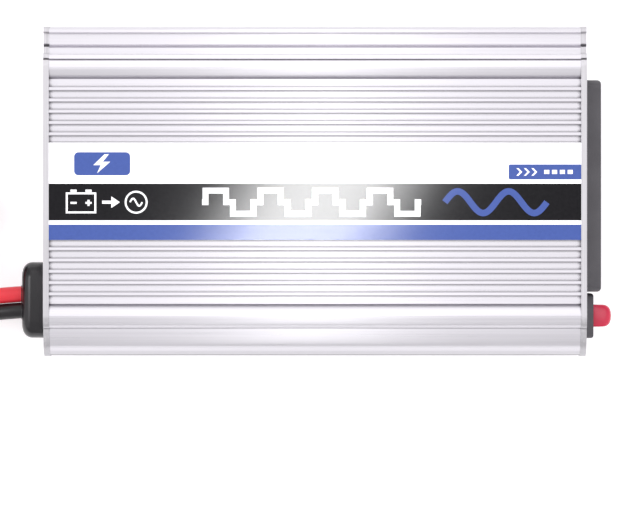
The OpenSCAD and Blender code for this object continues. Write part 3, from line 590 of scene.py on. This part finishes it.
black_line += through(
    [(-147, -36.2, 8), (-154, -36.2, 7), (-162, -36.4, 5.1), (-170, -36.7, 3.5), (-178, -36.9, 3),
     (-186, -36.8, 3.8), (-193, -36.2, 5.5), (-199.9, -34.9, 6.5)])


def lead(colour, line):
    """One battery lead along its whole line, in place of the CAD's three stretches."""
    curve = cable(f"{colour}_battery_lead", line, LEAD_D / 2, resolution=5)
    return piece(curve.name, curve, finishes[f"{colour}_pvc"],
                 replaces=(f"{colour}_lead", f"{colour}_coil", f"{colour}_lead_tail"))


red_lead = lead("red", red_line)
black_lead = lead("black", black_line)


# ---- printing on the label ----

LABEL_TOP = 55.75
INK_DEPTH = 0.02
BAND_Y = -3.2  # the black band's middle


def stroke(points, width, closed=False):
    """A flat band of one width along a line, its corners mitred."""
    points = [Vector(p) for p in points]
    last = len(points) - 1
    loops = []
    for i, p in enumerate(points):
        ends = []
        if closed or i > 0:
            ends.append((p - points[i - 1]).normalized())
        if closed or i < last:
            ends.append((points[(i + 1) % len(points)] - p).normalized())
        along = sum(ends, Vector((0, 0))).normalized()
        side = Vector((-along.y, along.x)) * width / 2 / max(0.3, along.dot(ends[0]))
        left, right = p + side, p - side
        loops.append([(*left, 0), (*right, 0), (*right, INK_DEPTH), (*left, INK_DEPTH)])
    return skinned(loops, closed)


def slab(outline, layer=0):
    """A flat filled shape, on the film itself or on a layer of ink."""
    return skinned([[(x, y, z * INK_DEPTH) for x, y in outline] for z in (layer, layer + 1)])


def rectangle(x0, y0, x1, y1):
    return [(x0, y0), (x1, y0), (x1, y1), (x0, y1)]


def rounded_rectangle(x, y, width, height, r, steps=6):
    outline = []
    for turn, (sx, sy) in enumerate(((1, 1), (-1, 1), (-1, -1), (1, -1))):
        for k in range(steps + 1):
            angle = math.pi / 2 * (turn + k / steps)
            outline.append((x + sx * (width / 2 - r) + r * math.cos(angle),
                            y + sy * (height / 2 - r) + r * math.sin(angle)))
    return outline


def wave(x0, x1, y, height, cycles, per_cycle=28):
    count = round(cycles * per_cycle)
    return [(x0 + (x1 - x0) * k / count, y + height * math.sin(2 * math.pi * cycles * k / count))
            for k in range(count + 1)]


def stepped_wave(x0, y, height, cycle, cycles):
    """An inverter's stepped output, drawn as one line."""
    line = [(x0, y)]
    for n in range(cycles):
        start = x0 + n * cycle
        for x, level in ((1 / 16, 0), (1 / 16, 1), (7 / 16, 1), (7 / 16, 0),
                         (9 / 16, 0), (9 / 16, -1), (15 / 16, -1), (15 / 16, 0)):
            line.append((start + x * cycle, y + level * height))
    line.append((x0 + cycles * cycle, y))
    return line


def printed_marks(name, parts, material):
    points, faces = merged(parts)
    points = [Vector((x, y, LABEL_TOP + z)) * MM for x, y, z in points]
    return piece(name, mesh_of(name, points, faces), material, smooth=False)


def chevron(x, y, size):
    return [(x, y - size), (x + size * 0.6, y - size), (x + size * 1.6, y), (x + size * 0.6, y + size),
            (x, y + size), (x + size, y)]


def circle(x, y, radius, count):
    return [(x + radius * math.cos(2 * math.pi * k / count), y + radius * math.sin(2 * math.pi * k / count))
            for k in range(count)]


def plus_sign(x, y, half, arm):
    """A cross of four arms, centred on a point."""
    quarter = [(half, -arm), (half, arm), (arm, arm)]
    outline = []
    for _ in range(4):
        outline += [(x + dx, y + dy) for dx, dy in quarter]
        quarter = [(-dy, dx) for dx, dy in quarter]
    return outline


def arrow(x0, x1, y):
    """A short arrow towards +X."""
    neck = x1 - 2.5
    return [(x0, y - 0.45), (neck, y - 0.45), (neck, y - 1.7), (x1, y), (neck, y + 1.7), (neck, y + 0.45),
            (x0, y + 0.45)]


LIGHTNING_BOLT = [(-61.9, 10.9), (-65.2, 7.7), (-63.0, 7.7), (-64.1, 5.3), (-60.2, 8.7), (-62.4, 8.7),
                  (-60.6, 10.9)]
TAG_Y = 5.7  # the middle of the small blue tag at the right


def battery_sign():
    """A battery's outline with its two terminals and their polarities."""
    terminals = [slab(rectangle(x, -0.2, x + 1.8, 0.5)) for x in (-71.9, -67.5)]
    minus = slab(rectangle(-71.9, -3.7, -70.1, -3.1))
    plus = slab(plus_sign(-66.6, -3.4, 0.9, 0.3))
    return [stroke(rectangle(-73, -6.2, -64.6, -0.6), 0.55, closed=True), *terminals, minus, plus]


def mains_sign():
    """A sine wave in a ring."""
    return [stroke(circle(-52.6, BAND_Y, 3.1, 48), 0.55, closed=True),
            stroke(wave(-54.4, -50.8, BAND_Y, 1.1, 1, 20), 0.5)]


white_parts = [
    *battery_sign(),
    slab(arrow(-62.6, -57.4, BAND_Y)),
    *mains_sign(),
    stroke(stepped_wave(-33.2, BAND_Y, 3.4, 16.1, 4), 1.7),
    slab(LIGHTNING_BOLT, 1),
    *[slab(chevron(x, TAG_Y, 1.1), 1) for x in (59.2, 61.4, 63.6)],
    *[slab(rectangle(x, TAG_Y - 0.6, x + 1.5, TAG_Y + 0.6), 1) for x in (67.4, 69.7, 72.0, 74.3)]]
blue_parts = [
    slab(rectangle(-78.3, -14.3, 78.3, BLUE_TOP / MM)),
    stroke(wave(38.2, 68.2, BAND_Y, 3.2, 2), 1.9),
    slab(rounded_rectangle(-62.6, 8.1, 16.5, 6.8, 1.3)),
    slab(rounded_rectangle(67.7, TAG_Y, 21.5, 4.4, 0.5))]
grey_parts = [stroke([(-11, y), (24, y)], 0.22) for y in (9.2, 4.8)]
label_marks = [printed_marks("label_white_marks", white_parts, WHITE_INK),
               printed_marks("label_blue_marks", blue_parts, BLUE_INK),
               printed_marks("label_grey_marks", grey_parts, GREY_INK)]


# ---- battery clips ----

CLIP_X, CLIP_Z = -247, 6.5
HANDLE_START = (8, 7.6)
HANDLE_ANGLE = math.radians(12.5)
HANDLE_DEPTH = 3.6
GRIP_WIDTH, GRIP_DEPTH, GRIP_MIDDLE = 13, 5.6, -1.8
GRIP_RIDGES = 10
SPRING_WIRE_R = 0.47
SPRING_COIL_R = 2.45
SPRING_TURNS = 4.5


class Clip:
    """Places points of a clip's own frame, which has its pivot at the origin and its jaws towards -X."""

    def __init__(self, colour, y, side):
        self.colour = colour
        self.y = y
        self.side = side

    def place(self, x, y, z, turned=False):
        side = -self.side if turned else self.side
        return Vector((CLIP_X + x, self.y + side * y, CLIP_Z + z)) * MM

    def on_handle(self, along, across, z, turned):
        cos, sin = math.cos(HANDLE_ANGLE), math.sin(HANDLE_ANGLE)
        return self.place(HANDLE_START[0] + along * cos - across * sin,
                          HANDLE_START[1] + along * sin + across * cos, z, turned)


def grip(clip, name, turned, handle_width, body):
    """A dipped sleeve with finger ridges, hollow where the handle goes in."""
    loops = []

    def add_loop(along, inset, corner, width=GRIP_WIDTH, depth=GRIP_DEPTH):
        outline = rounded_rectangle(GRIP_MIDDLE, 0, depth - 2 * inset, width - 2 * inset, corner, steps=5)
        loops.append([clip.on_handle(along, across, z, turned) for across, z in outline])

    for along, flare in ((37.9, 0), (20, 0), (9.6, 0), (9.2, 0.12)):
        add_loop(along, -flare, 0.3, handle_width + 0.08, HANDLE_DEPTH + 0.08)
    for along, inset in ((9.0, 0.45), (9.1, 0.15), (9.5, 0), (10.6, 0), (11.1, 0.25), (11.5, 0.45)):
        add_loop(along, inset, 1.3)
    for k in range(GRIP_RIDGES):
        start = 12.6 + 2.3 * k
        for shift, inset in ((0, 0.42), (0.35, 0.1), (0.8, 0.02), (1.2, 0.1), (1.55, 0.42)):
            add_loop(start + shift, inset, 1.3)
    for along, inset, corner in ((36.6, 0.1, 1.4), (37.8, 0.1, 1.5), (38.6, 0.4, 1.5), (39.2, 0.95, 1.3),
                                 (39.5, 1.7, 0.8)):
        add_loop(along, inset, corner)
    node = f"{clip.colour}_clip_{name}"
    slot = f"{clip.colour}_grip"
    return piece(f"{node}_sleeve", mesh_of(f"{node}_sleeve", *skinned(loops)), finishes[slot],
                 body=body, replaces=(node,))


def spring(clip):
    """A torsion spring round the pin, with a leg on either half."""
    steps = 28
    count = int(SPRING_TURNS * steps)
    coil = []
    for k in range(count + 1):
        angle = -math.pi / 2 - 2 * math.pi * k / steps
        coil.append((SPRING_COIL_R * math.cos(angle), SPRING_COIL_R * math.sin(angle),
                     -2.1 + 4.2 * k / count))
    fixed_leg = [(2.4, 2.75, 2.12), (7, 4.5, 2.15), (12, 6.25, 2.2), (17, 8.0, 2.2)]
    moving_leg = [(-0.6, -2.38, -2.1), (0.3, -2.45, -2.1)] + [(x, -y, -z) for x, y, z in fixed_leg]
    node = f"{clip.colour}_clip_spring"
    made = []
    for part, line, body in (("coil", coil + fixed_leg, "case"), ("leg", moving_leg, f"{clip.colour}_jaw")):
        name = f"{node}_{part}"
        mesh = mesh_of(name, *swept([clip.place(*p) for p in line], SPRING_WIRE_R * MM, 12))
        made.append(piece(name, mesh, finishes["spring_steel"], body=body,
                          replaces=(node,)))
    return made


def clip_pieces(colour, y, side):
    """The clip's grips and spring, with the steel halves and the pin that stay as the CAD made them."""
    clip = Clip(colour, y, side)
    grips = [grip(clip, "fixed_grip", False, 11, "case"),
             grip(clip, "moving_grip", True, 8.6, f"{colour}_jaw")]
    cad_parts = [nodes[f"{colour}_clip_{part}"] for part in ("fixed_half", "moving_half", "pin")]
    return [*grips, *spring(clip), *cad_parts]


red_clip = clip_pieces("red", 17.5, side=1)
black_clip = clip_pieces("black", -20.5, side=-1)


# ---- coil tie ----

TIE_Y = -4.5
TIE_LEFT, TIE_RIGHT = -120.5, -105.1
TIE_LOW, TIE_HIGH = 0.4, 20.65
TIE_THICKNESS = 0.75
TIE_SECTION = [(-2.3, -1), (2.3, -1), (2.4, 0), (2.1, 1), (1.5, 0.8), (-1.5, 0.8), (-2.1, 1), (-2.4, 0)]


def tie_band():
    """The strap itself: its section carried round both coils."""
    path = rounded_rectangle((TIE_LEFT + TIE_RIGHT) / 2, (TIE_LOW + TIE_HIGH) / 2, TIE_RIGHT - TIE_LEFT,
                             TIE_HIGH - TIE_LOW, 2.8, steps=8)
    loops = []
    for i, (x, z) in enumerate(path):
        after = path[(i + 1) % len(path)]
        before = path[i - 1]
        out = Vector((after[1] - before[1], before[0] - after[0])).normalized() * TIE_THICKNESS / 2
        loops.append([Vector((x + out.x * t, TIE_Y + w, z + out.y * t)) * MM for w, t in TIE_SECTION])
    return skinned(loops, closed=True)


def tie_head():
    loops = []
    for x, inset in ((-105.2, 0.5), (-104.9, 0.1), (-104.5, 0), (-101.4, 0), (-100.8, 0.25), (-100.5, 0.8)):
        outline = rounded_rectangle(TIE_Y, 11.2, 7.4 - 2 * inset, 5.6 - 2 * inset, 0.9, steps=4)
        loops.append([Vector((x, y, z)) * MM for y, z in outline])
    return skinned(loops)


def tie_tail():
    """The cut end that stands up out of the head."""
    loops = []
    for x, z, half in ((-103.4, 10, 2.3), (-103.3, 14, 2.3), (-103.0, 16, 2.25), (-102.5, 18.4, 2.2),
                       (-102.1, 19.6, 1.9)):
        corners = ((-0.4, -half), (-0.4, half), (0.4, half), (0.4, -half))
        loops.append([Vector((x + dx, TIE_Y + dy, z)) * MM for dx, dy in corners])
    return skinned(loops)


tie = piece("coil_tie_strap", mesh_of("coil_tie_strap", *merged([tie_band(), tie_head(), tie_tail()])),
            finishes["tie_plastic"], replaces=("coil_tie",))
bevelled(tie, 0.12 * MM, segments=2, angle=50)


# ---- cable gland ----

GLAND_Y = -32.15
GLAND_WIDTH = 22.7
GLAND_HEIGHT = 14


def around_x(y, z, profile, sides):
    """A skin turned about a line along X through (y, z), from (x, radius) points."""
    turns = [2 * math.pi * k / sides for k in range(sides)]
    return skinned([[Vector((x, y + r * math.cos(t), z + r * math.sin(t))) * MM for t in turns]
                    for x, r in profile])


def gland_body():
    """Moulded rubber with rounded edges and a raised ring round each lead."""
    corner = 3.0
    outer = [(-79.9, 0.5), (-80.4, 0.5), (-80.7, 0.15), (-81.2, 0)]
    outer += [(-84.6 - corner * math.sin(a), corner * (1 - math.cos(a)))
              for a in (math.radians(d) for d in range(0, 81, 10))]
    outer.append((-87.7, corner))
    loops = []
    for x, inset in outer:
        outline = rounded_rectangle(GLAND_Y, LEAD_Z, GLAND_WIDTH - 2 * inset, GLAND_HEIGHT - 2 * inset,
                                    5 - inset * 0.8, steps=9)
        loops.append([Vector((x, y, z)) * MM for y, z in outline])
    lip = [(-87.2, 2.9), (-87.85, 2.9), (-88.0, 2.75), (-88.0, 2.45), (-87.7, 2.3)]
    lips = [around_x(y, LEAD_Z, lip, 40) for y in (RED_Y, BLACK_Y)]
    return merged([skinned(loops), *lips])


gland = piece("moulded_gland", mesh_of("moulded_gland", *gland_body()), finishes["gland_rubber"],
              replaces=("cable_gland",))
gland.data.set_sharp_from_angle(angle=math.radians(50))


# ---- rocker ----

ROCKER_TILT = math.radians(12)
ROCKER_Y = -36.75
ROCKER_Z = 28.5
ROCKER_PIVOT = (79.5, ROCKER_Y, ROCKER_Z)


def on_rocker(x, y, z):
    """A point of the rocker's own frame, which has its pivot at the origin and its face towards +X."""
    cos, sin = math.cos(ROCKER_TILT), math.sin(ROCKER_TILT)
    return (Vector(ROCKER_PIVOT) + Vector((x * cos + z * sin, y, z * cos - x * sin))) * MM


def rocker_body():
    """A dished rocker with a crowned face, rounded to both sides."""
    half = [(-3.6, 4.4), (0, 7.4), (2.4, 7.4), (5.4, 7.35), (6.5, 7.1), (7.2, 6.6), (7.5, 5.8), (7.4, 4.9),
            (7.0, 3.6), (6.5, 2.2), (6.15, 1.0), (6.0, 0)]
    outline = half + [(x, -z) for x, z in reversed(half[:-1])]
    side = [(3.3, 2.6), (3.22, 1.9), (3.0, 1.25), (2.6, 0.75), (2.0, 0.35), (1.2, 0.1)]
    across = [(-y, inset) for y, inset in side] + [(0, 0)] + side[::-1]
    loops = []
    for y, inset in across:
        loops.append([on_rocker(x - inset * min(1, max(0, (x - 1) / 4)), y, z * (1 - 0.03 * inset))
                      for x, z in outline])
    return skinned(loops)


def rocker_marks():
    """A raised ring at one end of the rocker's face and a bar at the other."""
    ring_line = [on_rocker(7.2 - 0.1 * math.cos(t), 1.05 * math.sin(t), 4.4 + 1.05 * math.cos(t))
                 for t in (2 * math.pi * k / 24 for k in range(25))]
    bar_line = [on_rocker(x, 0, z) for x, z in ((7.36, -5.5), (7.3, -4.5), (6.98, -3.4))]
    return merged([swept(ring_line, 0.16 * MM, 8), swept(bar_line, 0.18 * MM, 8)])


rocker = piece("crowned_rocker", mesh_of("crowned_rocker", *rocker_body()), finishes["red_rocker"],
               body="rocker", replaces=("switch_rocker",))
rocker.data.set_sharp_from_angle(angle=math.radians(40))
piece("rocker_marks", mesh_of("rocker_marks", *rocker_marks()), WHITE_INK, body="rocker")


# ---- wires inside ----

BOARD_TOP = 11.05
MAINS_WIRE_R = 1.1
SWITCH_WIRE_R = 0.9
FAN_WIRE_R = 0.8


def wire(name, points, radius, material):
    """A sleeved wire from the board to its terminal."""
    curve = cable(name, through(points), radius, resolution=3)
    return piece(name, curve, material, replaces=("inner_wires",))


GREEN_WIRE = moulded("green_wire", (0.03, 0.30, 0.06), (0.3, 0.4), 900, 0.01, 0.8)
BLACK_WIRE = moulded("black_wire", (0.02, 0.02, 0.022), (0.3, 0.4), 900, 0.01, 0.8)
for name, y, inner_y in (("line", 16, 18.5), ("neutral", 2, -0.5)):
    bow = (inner_y - y) / 2.5
    wire(f"{name}_wire", [(52, y, BOARD_TOP), (52.2, y + 0.5 * bow, 16), (53.5, y + 1.6 * bow, 22),
                          (56.5, y + 2.4 * bow, 27), (60, inner_y, 28.4), (63, inner_y, 28.5)],
         MAINS_WIRE_R, finishes["wire_pvc"])
wire("earth_wire", [(52, 9, BOARD_TOP), (52.2, 9, 18), (53.5, 9, 25), (56.5, 9, 30), (60, 9, 31.4),
                    (63, 9, 31.5)], MAINS_WIRE_R, GREEN_WIRE)
for name, side in (("switch_wire_low", -1), ("switch_wire_high", 1)):
    wire(name, [(46, ROCKER_Y + side * 2, BOARD_TOP), (46.2, ROCKER_Y + side * 1.6, 16),
                (47.6, ROCKER_Y + side * 0.8, 20 + side * 2), (51, ROCKER_Y + side * 0.2, 26.5 + side * 4),
                (56, ROCKER_Y, ROCKER_Z + side * 4.5)], SWITCH_WIRE_R, BLACK_WIRE)
wire("fan_wire", [(-68.3, 22, 25), (-66, 22, 24.6), (-64, 21.6, 22), (-63.6, 21, 17),
                  (-63.6, 20.6, BOARD_TOP)], FAN_WIRE_R, finishes["wire_pvc"])


# ---- fan rotor ----

FAN_Y, FAN_Z = 16, 28
ROTOR_FRONT, ROTOR_BACK = -77.2, -70.35
BLADES = 7
BLADE_STEPS = 10
BLADE_ROOT, BLADE_REACH = 8.7, 9.4


def blade_outline(chord, thick):
    """The blade's section as (along, across) points: a cambered lens, round at both ends."""
    outline = []
    stations = [j / 6 for j in range(7)]
    for side, places in ((1, stations), (-1, stations[-2:0:-1])):
        for t in places:
            bend = 0.9 * (1 - (2 * t - 1) ** 2)
            half = thick / 2 * (0.35 + 0.65 * math.sin(math.pi * (0.12 + 0.8 * t)))
            outline.append(((t - 0.5) * chord, bend + side * half))
    return outline


def fan_blade(number):
    """A blade that twists and sweeps back towards its tip."""
    middle_x = (ROTOR_FRONT + ROTOR_BACK) / 2 - 0.4
    loops = []
    for k in range(BLADE_STEPS + 1):
        share = k / BLADE_STEPS
        r = BLADE_ROOT + BLADE_REACH * share
        pitch = math.radians(50 - 18 * share)
        turn = 2 * math.pi * number / BLADES + 0.28 * share ** 1.6
        thick = (1.0 - 0.35 * share) * (0.8 if k in (0, BLADE_STEPS) else 1)
        around = []
        for u, v in blade_outline(8.0 + 2.6 * share, thick):
            x = middle_x + u * math.sin(pitch) + v * math.cos(pitch)
            angle = turn + (u * math.cos(pitch) - v * math.sin(pitch)) / r
            around.append(Vector((min(ROTOR_BACK, max(ROTOR_FRONT, x)), FAN_Y + r * math.cos(angle),
                                  FAN_Z + r * math.sin(angle))) * MM)
        loops.append(around)
    return skinned(loops)


hub = around_x(FAN_Y, FAN_Z, [(-77.3, 0.4), (-77.3, 3.2), (-77.1, 3.5), (-77.1, 7.9), (-76.9, 8.5),
                              (-76.4, 8.85), (-75.6, 9), (-70.6, 9), (-70.35, 8.8), (-70.35, 8.1),
                              (-70.6, 7.8), (-75.6, 7.8), (-75.9, 7.4), (-75.9, 1.2), (-68.9, 1.0),
                              (-68.75, 0.4)], 72)
rotor = piece("fan_blade_wheel", mesh_of("fan_blade_wheel", *merged([hub, *map(fan_blade, range(BLADES))])),
              finishes["fan_plastic"], body="fan_blades", replaces=("fan_rotor",))
rotor.data.set_sharp_from_angle(angle=math.radians(40))


# ---- CAD nodes and their finishes ----

CLIP_STEEL_NODES = [f"{colour}_clip_{part}" for colour in ("red", "black")
                    for part in ("fixed_half", "moving_half", "pin")]

node_finishes = {
    "case_aluminium": ("top_shell", "base_shell"),
    "plate_aluminium": ("dc_end_plate", "ac_end_plate", "transistor_clamps"),
    "label_film": ("label",),
    "screw_steel": ("dc_plate_screws", "ac_plate_screws", "panel_screws", "fan_screws"),
    "grey_plastic": ("socket_panel", "socket_body", "switch_housing"),
    "contact_brass": ("line_contacts", "earth_contact", "switch_terminals", "dc_terminals"),
    "usb_steel": ("usb_shell",),
    "white_plastic": ("usb_tongue",),
    "green_lens": ("power_led",),
    "red_lens": ("fault_led",),
    "board_green": ("front_board", "main_board", "control_board"),
    "copper_wire": ("lead_ends",),
    "clip_steel": CLIP_STEEL_NODES,
    "fan_plastic": ("fan_frame",),
    "ferrite": ("transformer_core",),
    "ferrite_yellow": ("choke_core",),
    "winding_copper": ("transformer_winding", "choke_winding"),
    "capacitor_sleeve": ("input_capacitors", "output_capacitor"),
    "chip_epoxy": ("input_transistors", "output_transistors", "buzzer", "fuse_holder"),
    "fuse_yellow": ("blade_fuses",),
}
for finish, names in node_finishes.items():
    for name in names:
        slots = nodes[name].data.materials
        slots.clear()
        slots.append(finishes[finish])

rounding = {
    "dc_end_plate": 0.18, "ac_end_plate": 0.18, "socket_panel": 0.45, "socket_body": 0.3,
    "switch_housing": 0.3, "usb_shell": 0.08, "fan_frame": 0.3,
}
for name in CLIP_STEEL_NODES:
    rounding[name] = 0.35 if name.endswith("pin") else 0.12
for name, width in rounding.items():
    rounded_by(nodes[name], width * MM, flatten=name.endswith("end_plate"))


# ---- floor and light ----

def area_light(name, place, size, power):
    """A rectangular lamp aimed at the origin, which the camera doesn't see."""
    data = bpy.data.lights.new(name, "AREA")
    data.shape = "RECTANGLE"
    data.size, data.size_y = size
    data.energy = power
    made = bpy.data.objects.new(name, data)
    made.location = place
    made.rotation_euler = (-Vector(place)).to_track_quat("-Z", "Y").to_euler()
    made.visible_camera = False
    bpy.context.scene.collection.objects.link(made)
    return made


floor_mesh = bpy.data.meshes.new("floor")
floor_mesh.from_pydata([(-4, -4, 0), (4, -4, 0), (4, 4, 0), (-4, 4, 0)], [], [(0, 1, 2, 3)])
floor = bpy.data.objects.new("floor", floor_mesh)
floor_mesh.materials.append(moulded("floor_paper", (0.93, 0.93, 0.93), (0.8, 0.9), 900, 0.02, 0.99,
                                    Emission_Color=(1, 1, 1), Emission_Strength=0.42))
bpy.context.scene.collection.objects.link(floor)
floor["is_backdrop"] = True


def studio_sky(horizon, zenith, boxes):
    """A plain sky with soft boxes, each (direction, cosine at its edge, cosine at its core, strength)."""
    world = bpy.data.worlds.new("studio")
    world.use_nodes = True
    s = Nodes(world.node_tree)
    direction = s.node("ShaderNodeTexCoord").outputs["Generated"]
    height = s.maths("MAXIMUM", s.split(direction)[2], 0.0)
    strength = s.maths("ADD", s.product(height, zenith - horizon), horizon)
    for towards, edge, core, level in boxes:
        dot = s.node("ShaderNodeVectorMath", operation="DOT_PRODUCT")
        dot.inputs[1].default_value = Vector(towards).normalized()
        s.link(direction, dot.inputs[0])
        box = s.ranged(dot.outputs["Value"], 0, level, edge, core, "SMOOTHSTEP")
        strength = s.maths("ADD", strength, box)
    background = s.node("ShaderNodeBackground")
    s.feed(background.inputs["Color"], SKY_TINT)
    s.link(strength, background.inputs["Strength"])
    s.link(background.outputs[0], s.node("ShaderNodeOutputWorld").inputs["Surface"])
    bpy.context.scene.world = world


SKY_TINT = (1.0, 0.985, 1.01)
studio_sky(0.50, 0.80, (
    ((0, 0.45, 0.9), 0.80, 0.96, 0.42),
    ((0, -0.9, 0.45), 0.80, 0.95, 0.06),
    ((0, 0.95, 0.3), 0.80, 0.95, 0.40),
    ((0.85, -0.2, 0.5), 0.80, 0.95, 0.55),
    ((-0.85, -0.2, 0.5), 0.80, 0.95, 0.55),
    ((-0.55, 0.15, 0.83), 0.965, 0.99, 3.0),
    ((0.55, 0.15, 0.83), 0.965, 0.99, 1.5)))

# A lamp above the label, whose reflection washes its middle out, and a weaker one for the metal round it.
label_glare = [area_light("label_glare_wide", (-0.002, -0.004, 0.56), (0.064, 0.12), 0.78),
               area_light("label_glare_core", (-0.002, -0.004, 0.55), (0.040, 0.12), 0.80)]
case_glare = area_light("case_glare", (-0.001, -0.07, 0.26), (0.02, 0.8), 0.09)
printed = bpy.data.collections.new("printed")
for made in (nodes["label"], *label_marks):
    printed.objects.link(made)
unprinted = bpy.data.collections.new("unprinted")
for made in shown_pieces():
    if made.name not in printed.objects:
        unprinted.objects.link(made)
for lamp in label_glare:
    lamp.light_linking.receiver_collection = printed
case_glare.light_linking.receiver_collection = unprinted

bpy.context.scene.view_settings.view_transform = "Standard"
bpy.context.scene.view_settings.look = "None"
